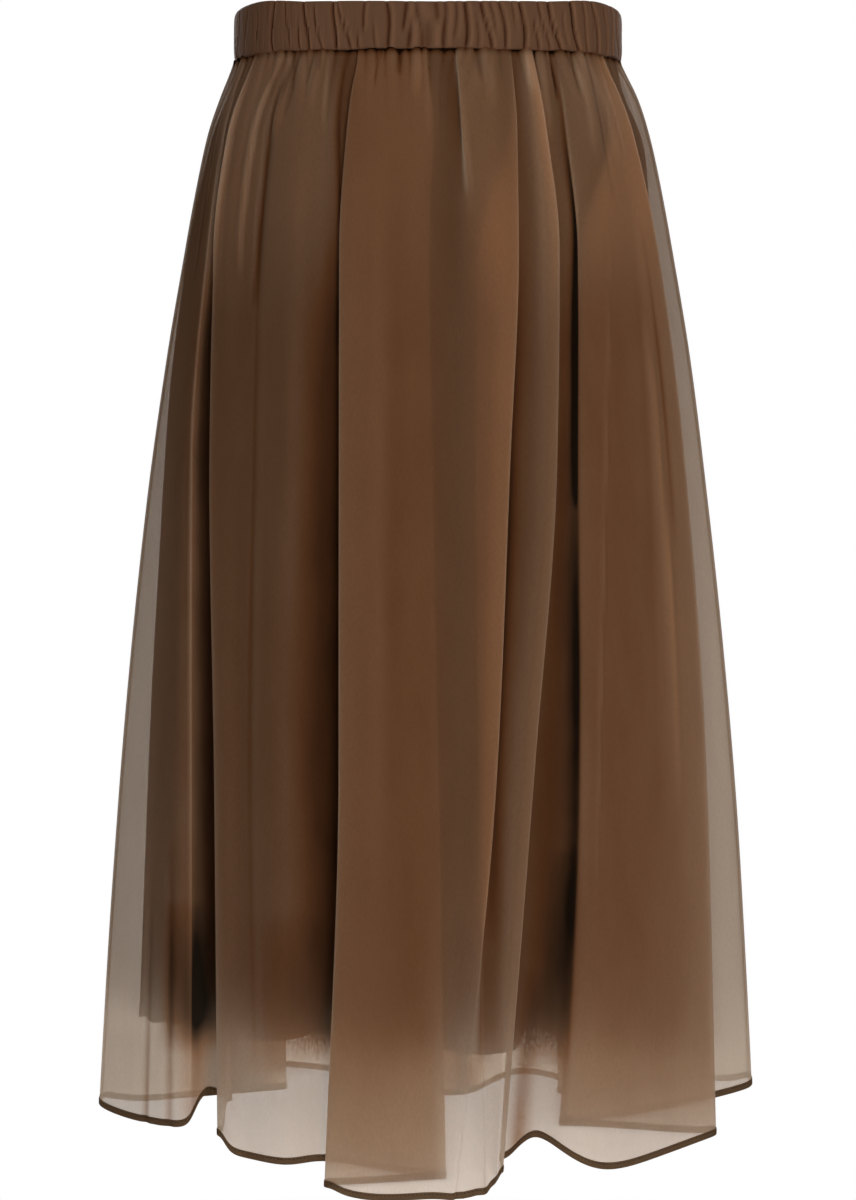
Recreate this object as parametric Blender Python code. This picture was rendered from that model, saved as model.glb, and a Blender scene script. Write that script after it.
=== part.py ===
"""Gathered midi skirt with an elastic waistband: sheer overskirt over a shorter lining.

Metres, +Z up, -Y is the front, +X is the photo's right. The origin is the centre of the
waist at the waistband's mid height. Each panel is a wall of even thickness. Its middle
surface is a B-spline section carried down from the waist seam to the hem. The sections are
worked out from the outline tables and from the fold tables, which have a row for each fold.
"""
import math
from collections import namedtuple

import bpy
import numpy as np

MM = 0.001

# ---- driving sizes (metres) -------------------------------------------------------------
CLOTH = 0.0010            # wall of one layer of cloth
SEAM_GAP = 0.0003         # pieces stop this far apart where they are sewn together
BAND_HEIGHT = 0.031
BAND_HALF_WIDTH = 0.1328  # out to the crests of the ruching
BAND_HALF_DEPTH = 0.0978
BAND_THICK = 0.0066       # casing, elastic and turnings together
OVER_LENGTH = 0.739       # waist seam to the lowest point of the overskirt's hem
LINING_LENGTH = 0.658
HEM_TURN = 0.005          # narrow double hem
HEM_EXTRA = 0.0005        # how far that hem stands out of the wall
TIGHTEST_SHARE = 0.4      # of a turn's radius that the wall inside it may take
FOLD_ROLL = 0.009         # how far back from its edge a fold starts to roll over, at most
ROLL_SHARE = 0.45         # of the way to the next ridge or fold, at most
TURN_LEAN = 0.0025        # most that a turn leans sideways to stay square to the outline
TURN_ROUND = 0.1          # share of a turn's depth given to the rounding of each side
GATHERED_DEPTH = 2.0      # mm; layers deeper than this at the top carry no gathers
SIDE_LIMIT = 0.995        # no fold lies further out than this share of the half width
SEAM_STRAIGHT = 0.008     # a panel leaves its side seam square, over this length at the waist
SEAM_STRAIGHT_GROWS = 0.010   # and so much more at the hem
SEAM_Z = -BAND_HEIGHT / 2

# ---- mesh density -----------------------------------------------------------------------
FRONT_COLUMNS = 102
BACK_COLUMNS = 98
LINING_COLUMNS = 42
FRONT_ROWS = (0.0, 0.014, 0.036, 0.052, 0.0677, 0.078, 0.095, 0.13, 0.1775, 0.25, 0.34, 0.46, 0.60,
              0.70, 0.778, 0.815, 0.88)
BACK_ROWS = (0.0, 0.014, 0.036, 0.0677, 0.090, 0.125, 0.1775, 0.26, 0.38, 0.54, 0.76)
LINING_ROWS = (0.0, 0.035, 0.105, 0.23, 0.42, 0.68, 1.0)
SEAM_STEP = 0.0045        # relative spacing of the columns along the waist seam,
HEM_STEP = 0.030          # along the hem,
BEND_STEP = 0.40          # and in radians round a bend, in the row MIDDLE_ROW and at the hem
MIDDLE_ROW = 0.35

# ---- outlines: half sizes of the plain cone the folds hang on (millimetres) -------------
Outline = namedtuple("Outline", "drop half_width front_depth back_depth shift")
OVER_OUTLINE = (
    #        drop  half_width  front  back  shift
    Outline(0,     129.8,      94.8,  94.8,   0.0),
    Outline(23,    144.5,     105.0, 105.5,  -1.0),
    Outline(50,    153.5,     113.5, 115.0,  -2.0),
    Outline(92,    162.5,     121.5, 125.0,  -2.0),
    Outline(130,   169.0,     128.0, 132.0,  -1.5),
    Outline(200,   180.5,     137.0, 143.0,  -1.0),
    Outline(300,   193.0,     146.0, 153.0,  -0.5),
    Outline(400,   204.0,     155.0, 162.0,  -0.5),
    Outline(500,   213.0,     162.0, 169.0,  -0.5),
    Outline(600,   220.0,     169.0, 176.0,  -1.0),
    Outline(739,   228.0,     177.5, 184.0,  -1.5),
)
LINING_OUTLINE = (
    Outline(0,     127.4,      92.4,  92.4,   0.0),
    Outline(20,    134.5,      95.0,  95.5,  -1.5),
    Outline(54,    143.5,     100.0, 102.0,  -3.0),
    Outline(96,    153.0,     107.5, 111.0,  -3.5),
    Outline(130,   161.0,     113.5, 118.5,  -4.5),
    Outline(231,   170.8,     121.0, 127.5,  -7.0),
    Outline(331,   177.0,     126.0, 133.0,  -7.5),
    Outline(446,   182.6,     131.0, 138.0,  -8.5),
    Outline(658,   188.2,     139.0, 145.0, -12.0),
)

# ---- fold tables ------------------------------------------------------------------------
# A row is a ridge, a valley or a fold of one panel, from seam to seam. turn is 1 where the
# cloth doubles back on itself. The next six columns are x at the levels below, in mm. The
# columns named in_... are how far that layer lies inside the outline, and lift is how much
# higher than the lowest point the hem hangs there. A turn joins its own layer to the next.
LEVELS = (0.0, 0.050, 0.130, 0.270, 0.470, 0.739)
DEPTH_LEVELS = (0.0, 0.032, 0.130, 0.739)
Fold = namedtuple("Fold", "name turn seam yoke hip thigh knee hem in_top in_hip in_hem lift")

FRONT_FOLDS = (
    # name               turn  seam    yoke    hip thigh   knee    hem in_top in_hip in_hem lift
    Fold("left_side",       0,  -130,   -149,   -163,  -182,  -201,  -204,   0.5,    1,    6,  26),
    Fold("left_lobe",       0,  -124,   -140,   -152,  -167,  -170,  -177,   0.0,    0,   -2,  26),
    Fold("left_lobe_end",   0,  -120,   -135,   -146,  -157,  -158,  -160,   1.0,    1,    4,  31),
    Fold("left_valley",     0,  -116,   -133,   -143,  -152,  -151,  -149,   5.6,    7,   20,  42),
    Fold("left_inner",      1,  -112,   -129, -137.5,  -133,  -131,  -130,   6.0,  7.4,   20,  42),
    Fold("left_edge",       1,  -105,   -124, -140.5,  -143,  -140,  -139,   3.0,  3.7,   10,  40),
    Fold("left_roll",       0,   -98,   -116,   -127,  -131,  -130,  -129,  -0.5,   -1,    0,  24),
    Fold("left_crease",     0,   -90,   -108,   -113,  -117,  -121,  -117,   1.5,    3,    4,  20),
    Fold("left_panel",      0,   -80,    -86,    -93,   -97,  -101,   -94,  -1.0,   -2,   -1,  17),
    Fold("valley_2_rim",    0,   -67,    -70,    -71,   -82,   -88,   -80,   0.5,    1,    5,  19),
    Fold("valley_2",        0,   -61,    -63,    -62,   -65,   -67,   -65,   5.5,    9,   16,  19),
    Fold("centre_far",      0,   -56,    -58,    -38,   -28,   -26,   -26,   6.0,    9,   17,  16),
    Fold("centre_inner",    1,   -50,    -53,      0,     3,     7,    12,   6.0,    8,   16,  14),
    Fold("centre_edge",     1,   -42,    -54,    -57,   -57,   -57,   -66,   3.0,    4,    8,   4),
    Fold("centre_roll",     0,   -34,    -44,    -48,   -48,   -47,   -54,  -1.0, -1.5,   -1,   1),
    Fold("centre_panel",    0,   -20,    -24,    -27,   -28,   -28,   -34,   0.0,  0.5,    1,   0),
    Fold("short_rim",       0,    -3,      3,      4,     0,    -2,   -16,  -0.5,    0,    0,   0),
    Fold("short_valley",    0,     9,     14,     17,    14,    10,    -2,   7.0,    1,    1,   0),
    Fold("short_end",       0,    19,     22,     29,    26,    22,     8,  -1.0,    0,    1,   0),
    Fold("narrow_panel",    0,    36,     40,     45,    41,    32,    16,  -0.5,   -1,    0,   1),
    Fold("narrow_edge",     1,    54,     59,     59,    54,    45,    18,   0.0,    0,    0,   2),
    Fold("narrow_inner",    1,    61,     59,     33,    31,    33,    37,   3.0,    4,  2.6,   4),
    Fold("valley_4",        0,    66,     66,     65,    62,    51,    42,   6.0,    8,  5.5,   5),
    Fold("ridge_5",         0,    71,     72,     79,    77,    61,    46,  -1.0,   -2,    0,   8),
    Fold("ridge_5_edge",    0,    76,     78,     87,    86,    70,    49,   0.5,    1,    8,  18),
    Fold("valley_5",        0,    81,     85,     92,    93,    85,    68,   7.5,   13,   17,  31),
    Fold("right_rim",       0,    87,     91,     98,   100,    99,    91,   1.0,    1,    6,  22),
    Fold("right_ridge",     0,    96,    104,    112,   110,   109,   113,  -1.0,   -2,   -2,  12),
    Fold("right_panel",     0,   106,    121,    134,   140,   142,   148,   0.5,    1,    3,  16),
    Fold("right_edge",      1,   113,    137,    156,   174,   188,   192,   0.0,    0,    1,  18),
    Fold("right_middle",    0,   118,  134.2,    131,   138,   140,   138,   2.8,  4.0,   12,  30),
    Fold("right_inner",     1,   122,  133.2,    107,   103,   101,    84,   4.4,  5.2,   13,  40),
    Fold("right_far",       0,   126,    141,    141,   146,   147,   146,   7.6,    9,   20,  41),
    Fold("right_side",      0,   129,  148.5,    163,   184,   202,   212,   2.5,    2,    8,  38),
)
BACK_FOLDS = (
    # name               turn  seam    yoke    hip thigh   knee    hem in_top in_hip in_hem lift
    Fold("back_right_side", 0,   128,    148,    162,   181,   199,   213,   0.5,    2,    8,  28),
    Fold("back_right_lobe", 0,   120,    139,    153,   170,   184,   193,  -0.5,   -1,   -3,  22),
    Fold("back_right_dip",  0,   111,    128,    141,   155,   164,   170,   1.5,    4,   12,  18),
    Fold("back_ridge",      0,   103,    118,    129,   139,   145,   150,  -0.5,   -1,   -3,  13),
    Fold("fold_1_far",      0,    95,    107,    115,   121,   124,   128,   6.0,  6.5,   13,   8),
    Fold("fold_1_left",     1,    86,   91.5,     92,    93,    94,    95,   6.0,  6.5,   13,   5),
    Fold("fold_1_right",    1,    77,   93.5,    110,   116,   121,   125,   3.0,  3.2,  6.5,   7),
    Fold("back_panel_1",    0,    66,     72,     77,    80,    82,    86,  -1.0,   -1,   -2,  10),
    Fold("back_dip_1",      0,    59,     60,     60,    60,    60,    60,   1.0,    3,    8,   8),
    Fold("fold_2_far",      0,    52,     49,     42,    39,    37,    35,   6.0,    7,   13,   5),
    Fold("fold_2_left",     1,    45,     41,     24,    17,    12,     9,   6.0,    7,   13,   3),
    Fold("fold_2_right",    1,    36,     42,     41,    39,    37,    35,   3.0,  3.5,  6.5,   4),
    Fold("back_panel_2",    0,    22,     24,     22,    20,    18,    16,  -1.0,   -1,   -2,   8),
    Fold("back_dip_2",      0,     8,      6,      4,     3,     2,     0,   1.0,    3,    6,   6),
    Fold("fold_3_far",      0,    -5,    -12,    -16,   -14,   -12,   -12,   6.0,    7,   13,   3),
    Fold("fold_3_left",     1,   -18,    -26,    -46,   -52,   -55,   -57,   6.0,    7,   13,   2),
    Fold("fold_3_right",    1,   -27,    -26,    -17,   -12,    -9,    -8,   3.0,  3.5,  6.5,   3),
    Fold("back_panel_3",    0,   -40,    -46,    -50,   -54,   -56,   -60,  -1.0,   -1,   -2,   7),
    Fold("back_dip_3",      0,   -56,    -66,    -78,   -86,   -90,   -92,   2.0,    4,    9,  12),
    Fold("back_panel_4",    0,   -72,    -88,   -103,  -114,  -121,  -126,  -1.0,   -1,   -3,  15),
    Fold("fold_4_left",     1,   -90, -113.5,   -131,  -147,  -158,  -165,   0.0,    0,    1,  16),
    Fold("fold_4_right",    1,   -99, -111.5,   -117,  -112,  -108,  -106,   3.4,    4,    7,  12),
    Fold("fold_4_inner",    0,  -108,   -124,   -134,  -138,  -140,  -142,   6.6,    8,   14,  12),
    Fold("fold_4_end",      0,  -115,   -135,   -147,  -160,  -170,  -176,   3.5,    5,   10,  12),
    Fold("back_left_side",  0,  -125,   -147,   -161,  -181,  -200,  -212,   0.0,  0.5,    0,  13),
)
SIDE_LIFT = {"left": 18, "right": 34}

# The lining's folds run straight down from the waist, so a row needs only its hem.
Flute = namedtuple("Flute", "hem_x hem_in lift")
LINING_FRONT_FLUTES = (
    #     hem_x  hem_in lift
    Flute(-190,   2.0,  8),
    Flute(-168,  -2.0,  4),
    Flute(-140,   5.0,  9),
    Flute(-124,   1.0,  9),
    Flute(-103,  -4.0,  3),
    Flute(-78,    0.0,  6),
    Flute(-62,    6.0, 12),
    Flute(-38,    4.0, 12),
    Flute(-12,    0.0,  6),
    Flute(14,    -4.0,  0),
    Flute(40,    -4.0,  0),
    Flute(60,     0.0,  4),
    Flute(66,     9.0, 16),
    Flute(84,     6.0, 12),
    Flute(104,    1.0,  8),
    Flute(128,   -4.0,  0),
    Flute(152,    1.0,  5),
    Flute(170,    0.0,  8),
)
LINING_BACK_FLUTES = (
    Flute(168,    1.0,  8),
    Flute(146,   -3.0,  4),
    Flute(118,    6.0,  6),
    Flute(92,    -3.0,  2),
    Flute(64,     6.0,  5),
    Flute(36,    -3.0,  0),
    Flute(6,      7.0,  4),
    Flute(-26,   -3.0,  1),
    Flute(-54,    6.0,  5),
    Flute(-84,   -3.0,  2),
    Flute(-112,   6.0,  6),
    Flute(-140,  -2.0,  4),
    Flute(-168,   4.0,  8),
    Flute(-188,   0.0, 10),
)

# ---- gathers under the waistband and ruching on it --------------------------------------
# Cycled along the seam: the length of each gather along the seam, how far it puffs out and
# how far down it fades, in mm.
Gather = namedtuple("Gather", "width puff fade")
GATHERS = (
    Gather(11.0, 2.0, 42), Gather(8.5, 1.2, 24), Gather(12.5, 2.4, 66), Gather(9.5, 1.5, 30),
    Gather(10.5, 2.1, 52), Gather(7.5, 1.0, 20), Gather(13.0, 2.3, 38), Gather(9.0, 1.7, 74),
)
LINING_PUFF = 0.35        # share of the overskirt's puff
SWELL_POWER = 0.8         # below 1 a gather is rounder, with tighter valleys
FADE_POWER = 1.3          # above 1 it keeps its height longer before it fades
RUCHES = 68
RUCHE_SHAPE = ((0.0, 1.0), (0.34, 0.0), (0.70, 0.15))    # place across a ruche, share sunk
RUCHE_DEPTHS = (1.6, 2.2, 1.2, 2.5, 1.8, 1.0, 2.1)      # mm, cycled
RUCHE_WIDTHS = (1.0, 0.8, 1.25, 0.9, 1.15)              # relative, cycled
RUCHE_SLANTS = (1.8, -0.6, 2.6, 0.8, -1.6, 1.2, 0.2)    # mm over the band's height, cycled
BAND_ROWS = (0.0, 0.14, 0.86, 1.0)
BAND_BULGE = 0.0011       # the band's mid height stands out from its edges by this
RIM_SINK = 0.55           # share of a ruche's depth that is left at the band's edges


def smooth_through(knots, values, x):
    """A smooth curve through the knots, with slopes that never overshoot."""
    knots = np.asarray(knots, float)
    values = np.asarray(values, float)
    x = np.clip(x, knots[0], knots[-1])
    steps = np.diff(knots)
    rises = np.diff(values) / steps
    slopes = np.empty(len(knots))
    slopes[0] = rises[0]
    slopes[-1] = rises[-1]
    for i in range(1, len(knots) - 1):
        before, after = rises[i - 1], rises[i]
        slopes[i] = 0.0 if before * after <= 0 else 2 * before * after / (before + after)
    i = np.clip(np.searchsorted(knots, x, side="right") - 1, 0, len(steps) - 1)
    t = (x - knots[i]) / steps[i]
    a = values[i] * (1 + 2 * t) * (1 - t) ** 2 + values[i + 1] * t * t * (3 - 2 * t)
    b = steps[i] * (slopes[i] * t * (1 - t) ** 2 - slopes[i + 1] * t * t * (1 - t))
    return a + b


def outline_at(table, drop):
    """Half width, front depth, back depth and sideways shift at a drop below the seam."""
    drops = [row.drop * MM for row in table]
    fields = ("half_width", "front_depth", "back_depth", "shift")
    return [smooth_through(drops, [getattr(row, f) * MM for row in table], drop) for f in fields]


def on_outline(table, facing, x, inside, drop):
    """The point of the front (-1) or back (+1) at this x, a given way inside the outline."""
    half_width, front, back, shift = outline_at(table, drop)
    depth = front if facing < 0 else back
    sine = np.clip((x - shift) / (half_width - inside), -SIDE_LIMIT, SIDE_LIMIT)
    return x, facing * (depth - inside) * math.sqrt(1 - sine * sine)


def outward_x(table, facing, x, drop):
    """The x part of the direction that points straight out of the outline at this x."""
    half_width, front, back, shift = outline_at(table, drop)
    depth = front if facing < 0 else back
    sine = np.clip((x - shift) / half_width, -SIDE_LIMIT, SIDE_LIMIT)
    return sine * depth / math.hypot(sine * depth, math.sqrt(1 - sine * sine) * half_width)


def spline_weights(count, params, order=0):
    """Rows of uniform cubic B-spline weights, or of their first or second derivatives.

    The curve starts and ends on its end points.
    """
    weights = np.zeros((len(params), count + 2))
    for row, u in enumerate(params):
        i = min(int(u), count - 2)
        t = u - i
        weights[row, i:i + 4] += (
            ((1 - t) ** 3 / 6, (3 * t ** 3 - 6 * t ** 2 + 4) / 6,
             (1 + 3 * t + 3 * t ** 2 - 3 * t ** 3) / 6, t ** 3 / 6),
            (-(1 - t) ** 2 / 2, (3 * t * t - 4 * t) / 2, (1 + 2 * t - 3 * t * t) / 2, t * t / 2),
            (1 - t, 3 * t - 2, 1 - 3 * t, t),
        )[order]
    inner = weights[:, 1:-1].copy()
    inner[:, 0] += 2 * weights[:, 0]
    inner[:, 1] -= weights[:, 0]
    inner[:, -1] += 2 * weights[:, -1]
    inner[:, -2] -= weights[:, -1]
    return inner


def seam_ends(table, facing, first_side, drop_of, v):
    """The two side-seam points of a panel, with a second point that squares each end."""
    ends = []
    for side in (first_side, -first_side):
        lift = SIDE_LIFT["left" if side < 0 else "right"] * MM
        drop = drop_of(v, lift)
        half_width, _, _, shift = outline_at(table, drop)
        x = shift + side * half_width
        reach = SEAM_STRAIGHT + SEAM_STRAIGHT_GROWS * v
        ends.append([(x, facing * SEAM_GAP / 2, drop, 0.0), (x, facing * reach, drop, 1.0)])
    return ends[0], ends[1][::-1]


def panel_controls(table, folds, facing, length, v):
    """Control points of one row of an overskirt panel, from seam to seam.

    Each is x, y, drop and a share of the gathers, which is 0 in valleys and hidden layers.
    """
    def drop_of(share, lift):
        return length * share - lift * share * share

    def fold_x(fold, drop):
        row = (fold.seam, fold.yoke, fold.hip, fold.thigh, fold.knee, fold.hem)
        return smooth_through(LEVELS, row, drop) * MM

    def inside(fold, drop):
        row = (0.0, fold.in_top, fold.in_hip, fold.in_hem)
        return smooth_through(DEPTH_LEVELS, row, drop) * MM

    points = []
    xs = [fold_x(fold, drop_of(v, fold.lift * MM)) for fold in folds]
    for k, fold in enumerate(folds):
        drop = drop_of(v, fold.lift * MM)
        depth = inside(fold, drop)
        if not fold.turn:
            gathered = 1.0 if fold.in_top < GATHERED_DEPTH else 0.0
            points.append((*on_outline(table, facing, xs[k], depth, drop), drop, gathered))
            last_x = xs[k]
            continue
        next_depth = inside(folds[k + 1], drop)
        step = TURN_ROUND * (next_depth - depth)
        lean = outward_x(table, facing, xs[k], drop) * (next_depth - depth)
        next_x = xs[k] - np.clip(lean, -TURN_LEAN, TURN_LEAN)
        back = np.clip((last_x - xs[k]) * ROLL_SHARE, -FOLD_ROLL, FOLD_ROLL)
        ahead = np.clip((xs[k + 1] - next_x) * ROLL_SHARE, -FOLD_ROLL, FOLD_ROLL)
        last_x = next_x
        for x, layer in ((xs[k] + back, depth), (xs[k], depth + step),
                         (next_x, next_depth - step), (next_x + ahead, next_depth)):
            points.append((*on_outline(table, facing, x, layer, drop), drop, 0.0))
    start, end = seam_ends(table, facing, -1 if facing < 0 else 1, drop_of, v)
    return np.array(start + points + end)


def lining_controls(table, flutes, facing, length, v):
    """Control points of one row of a lining panel; its folds fade out towards the waist."""
    def drop_of(share, lift):
        return length * share - lift * share * share

    hem_half = table[-1].half_width * MM
    hem_shift = table[-1].shift * MM
    points = []
    for flute in flutes:
        drop = drop_of(v, flute.lift * MM)
        half_width, _, _, shift = outline_at(table, drop)
        x = shift + (flute.hem_x * MM - hem_shift) * half_width / hem_half
        points.append((*on_outline(table, facing, x, flute.hem_in * MM * v, drop), drop, 1.0))
    start, end = seam_ends(table, facing, -1 if facing < 0 else 1, drop_of, v)
    return np.array(start + points + end)


def arc_lengths(points):
    steps = np.linalg.norm(np.diff(points[:, :2], axis=0), axis=1)
    return np.concatenate(([0.0], np.cumsum(steps)))


def turning(points):
    """How sharply a line turns at each of its points, in radians."""
    steps = np.diff(points[:, :2], axis=0)
    angles = np.unwrap(np.arctan2(steps[:, 1], steps[:, 0]))
    return np.concatenate(([0.0], np.abs(np.diff(angles)), [0.0]))


def choose_columns(controls_at, count):
    """Spline parameters of the columns: closer where the cloth bends or is gathered."""
    fine = np.linspace(0, len(controls_at(0.0)) - 1, 1600)
    weights = spline_weights(len(controls_at(0.0)), fine)
    seam, middle, hem = (weights @ controls_at(v) for v in (0.0, MIDDLE_ROW, 1.0))
    load = arc_lengths(seam) / SEAM_STEP + arc_lengths(hem) / HEM_STEP
    load += np.cumsum(turning(middle) + turning(hem)) / (2 * BEND_STEP)
    return np.interp(np.linspace(0, load[-1], count), load, fine)


def gather_puff(arc, drop):
    """How far the gathers push the cloth out, at an arc length along the seam."""
    period = sum(g.width for g in GATHERS) * MM
    place = arc % period
    start = 0.0
    for gather in GATHERS:
        width = gather.width * MM
        if place < start + width:
            swell = math.sin(math.pi * (place - start) / width) ** SWELL_POWER
            fade = math.exp(-(drop / (gather.fade * MM)) ** FADE_POWER)
            return gather.puff * MM * swell * fade
        start += width
    return 0.0


def wall_offsets(slopes, bends):
    """Outward level normals of a row, and how far its wall reaches out and in of its middle.

    Inside a tight turn the wall is thinner, so that it never crosses itself.
    """
    speed = np.linalg.norm(slopes[:, :2], axis=1)
    normals = np.stack((slopes[:, 1], -slopes[:, 0]), axis=1) / speed[:, None]
    curve = (slopes[:, 0] * bends[:, 1] - slopes[:, 1] * bends[:, 0]) / speed ** 3
    room = TIGHTEST_SHARE / np.maximum(np.abs(curve), 1e-9)
    outward = np.where(curve < 0, np.minimum(CLOTH / 2, room), CLOTH / 2)
    inward = np.where(curve > 0, np.minimum(CLOTH / 2, room), CLOTH / 2)
    return normals, outward, inward


def panel_walls(controls_at, count, rows, puff_share, hem_rows):
    """Outer and inner grids of points of one panel, hem_rows being the thicker rows."""
    params = choose_columns(controls_at, count)
    place, slope, bend = (spline_weights(len(controls_at(0.0)), params, k) for k in range(3))
    arcs = arc_lengths(place @ controls_at(0.0))
    outer, inner = [], []
    for v in rows:
        controls = controls_at(v)
        middle = place @ controls
        normals, outward, inward = wall_offsets(slope @ controls, bend @ controls)
        puffs = np.array([gather_puff(s, d) for s, d in zip(arcs, middle[:, 2])])
        flat = middle[:, :2] + normals * (puffs * puff_share * middle[:, 3])[:, None]
        heights = SEAM_Z - SEAM_GAP - middle[:, 2]
        if v in hem_rows:
            outward = outward + HEM_EXTRA
        outer.append(np.column_stack((flat + normals * outward[:, None], heights)))
        inner.append(np.column_stack((flat - normals * inward[:, None], heights)))
    return np.array(outer), np.array(inner)


def wall_object(name, outer, inner, material):
    """A closed wall between two grids of the same size, split along the same diagonals."""
    rows, columns = outer.shape[:2]
    points = np.concatenate((outer.reshape(-1, 3), inner.reshape(-1, 3)))
    inside = rows * columns

    def at(r, c):
        return r * columns + c

    faces = []
    for r in range(rows - 1):
        for c in range(columns - 1):
            a, b, d, e = at(r, c), at(r, c + 1), at(r + 1, c), at(r + 1, c + 1)
            faces += [(a, d, e), (a, e, b)]
            faces += [(inside + a, inside + e, inside + d), (inside + a, inside + b, inside + e)]
    for c in range(columns - 1):
        top, low = at(0, c), at(rows - 1, c)
        faces.append((top, top + 1, inside + top + 1, inside + top))
        faces.append((low, inside + low, inside + low + 1, low + 1))
    for r in range(rows - 1):
        first, last = at(r, 0), at(r, columns - 1)
        faces.append((first, inside + first, inside + first + columns, first + columns))
        faces.append((last, last + columns, inside + last + columns, inside + last))
    return mesh_object(name, points, faces, material)


def mesh_object(name, points, faces, material):
    mesh = bpy.data.meshes.new(name)
    mesh.from_pydata([tuple(p) for p in points], [], faces)
    mesh.materials.append(material)
    mesh.shade_smooth()
    mesh.update()
    piece = bpy.data.objects.new(name, mesh)
    bpy.context.scene.collection.objects.link(piece)
    return piece


def cloth_material(name, colour, roughness, alpha=1.0):
    material = bpy.data.materials.new(name)
    material.use_nodes = True
    shader = material.node_tree.nodes["Principled BSDF"]
    shader.inputs["Base Color"].default_value = (*colour, 1.0)
    shader.inputs["Roughness"].default_value = roughness
    shader.inputs["Metallic"].default_value = 0.0
    shader.inputs["Alpha"].default_value = alpha
    return material


def make_overskirt(material):
    hem_rows = (1.0 - HEM_TURN / OVER_LENGTH, 1.0)
    panels = (("overskirt_front", FRONT_FOLDS, -1, FRONT_COLUMNS, FRONT_ROWS),
              ("overskirt_back", BACK_FOLDS, 1, BACK_COLUMNS, BACK_ROWS))
    for name, folds, facing, count, rows in panels:
        def controls_at(v, folds=folds, facing=facing):
            return panel_controls(OVER_OUTLINE, folds, facing, OVER_LENGTH, v)
        outer, inner = panel_walls(controls_at, count, rows + hem_rows, 1.0, (1.0,))
        wall_object(name, outer, inner, material)


def make_lining(material):
    panels = (("lining_front", LINING_FRONT_FLUTES, -1), ("lining_back", LINING_BACK_FLUTES, 1))
    for name, flutes, facing in panels:
        def controls_at(v, flutes=flutes, facing=facing):
            return lining_controls(LINING_OUTLINE, flutes, facing, LINING_LENGTH, v)
        outer, inner = panel_walls(controls_at, LINING_COLUMNS, LINING_ROWS, LINING_PUFF, ())
        wall_object(name, outer, inner, material)


def ruche_angles():
    """The angle of each valley of the ruching round the band, as shares of a full turn."""
    widths = [RUCHE_WIDTHS[i % len(RUCHE_WIDTHS)] for i in range(RUCHES)]
    return np.concatenate(([0.0], np.cumsum(widths))) / sum(widths)


def make_waistband(material):
    """Gathered casing: valleys and puffs in the outer points, over a plain inside."""
    starts = ruche_angles()
    places = []
    for i in range(RUCHES):
        width = starts[i + 1] - starts[i]
        depth = RUCHE_DEPTHS[i % len(RUCHE_DEPTHS)] * MM
        slant = RUCHE_SLANTS[i % len(RUCHE_SLANTS)] * MM
        for share, sunk in RUCHE_SHAPE:
            places.append((starts[i] + share * width, sunk * depth, slant))
    columns = len(places)
    turn_length = math.pi * (BAND_HALF_WIDTH + BAND_HALF_DEPTH)
    points = []
    for v in BAND_ROWS:
        z = -BAND_HEIGHT / 2 + v * BAND_HEIGHT
        bulge = BAND_BULGE * (1 - (2 * v - 1) ** 4)
        for place, sink, slant in places:
            angle = 2 * math.pi * (place + slant * (v - 0.5) / turn_length)
            inset = BAND_BULGE - bulge + sink * (RIM_SINK + (1 - RIM_SINK) * math.sin(math.pi * v))
            points.append(((BAND_HALF_WIDTH - inset) * math.cos(angle),
                           (BAND_HALF_DEPTH - inset) * math.sin(angle), z))
    for z in (-BAND_HEIGHT / 2, BAND_HEIGHT / 2):
        for place, _, _ in places:
            angle = 2 * math.pi * place
            points.append(((BAND_HALF_WIDTH - BAND_THICK) * math.cos(angle),
                           (BAND_HALF_DEPTH - BAND_THICK) * math.sin(angle), z))
    faces = []
    rows = len(BAND_ROWS)
    low_ring, high_ring = rows * columns, (rows + 1) * columns
    for c in range(columns):
        n = (c + 1) % columns
        for r in range(rows - 1):
            faces.append((r * columns + c, r * columns + n, (r + 1) * columns + n,
                          (r + 1) * columns + c))
        top = (rows - 1) * columns
        faces.append((top + c, top + n, high_ring + n, high_ring + c))
        faces.append((low_ring + c, high_ring + c, high_ring + n, low_ring + n))
        faces.append((c, low_ring + c, low_ring + n, n))
    return mesh_object("waistband", points, faces, material)


def main():
    for piece in list(bpy.data.objects):
        bpy.data.objects.remove(piece, do_unlink=True)
    sheer = cloth_material("sheer_cloth", (0.30, 0.175, 0.11), 0.6, alpha=0.75)
    band = cloth_material("band_cloth", (0.095, 0.052, 0.030), 0.55)
    opaque = cloth_material("lining_cloth", (0.072, 0.038, 0.022), 0.5)
    make_waistband(band)
    make_overskirt(sheer)
    make_lining(opaque)


main()
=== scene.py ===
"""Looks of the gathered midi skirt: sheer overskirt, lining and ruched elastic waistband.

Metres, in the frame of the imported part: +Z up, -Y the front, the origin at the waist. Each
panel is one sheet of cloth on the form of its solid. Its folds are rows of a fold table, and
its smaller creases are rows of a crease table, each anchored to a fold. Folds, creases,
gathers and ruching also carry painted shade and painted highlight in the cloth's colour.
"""
import math
from collections import namedtuple

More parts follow.
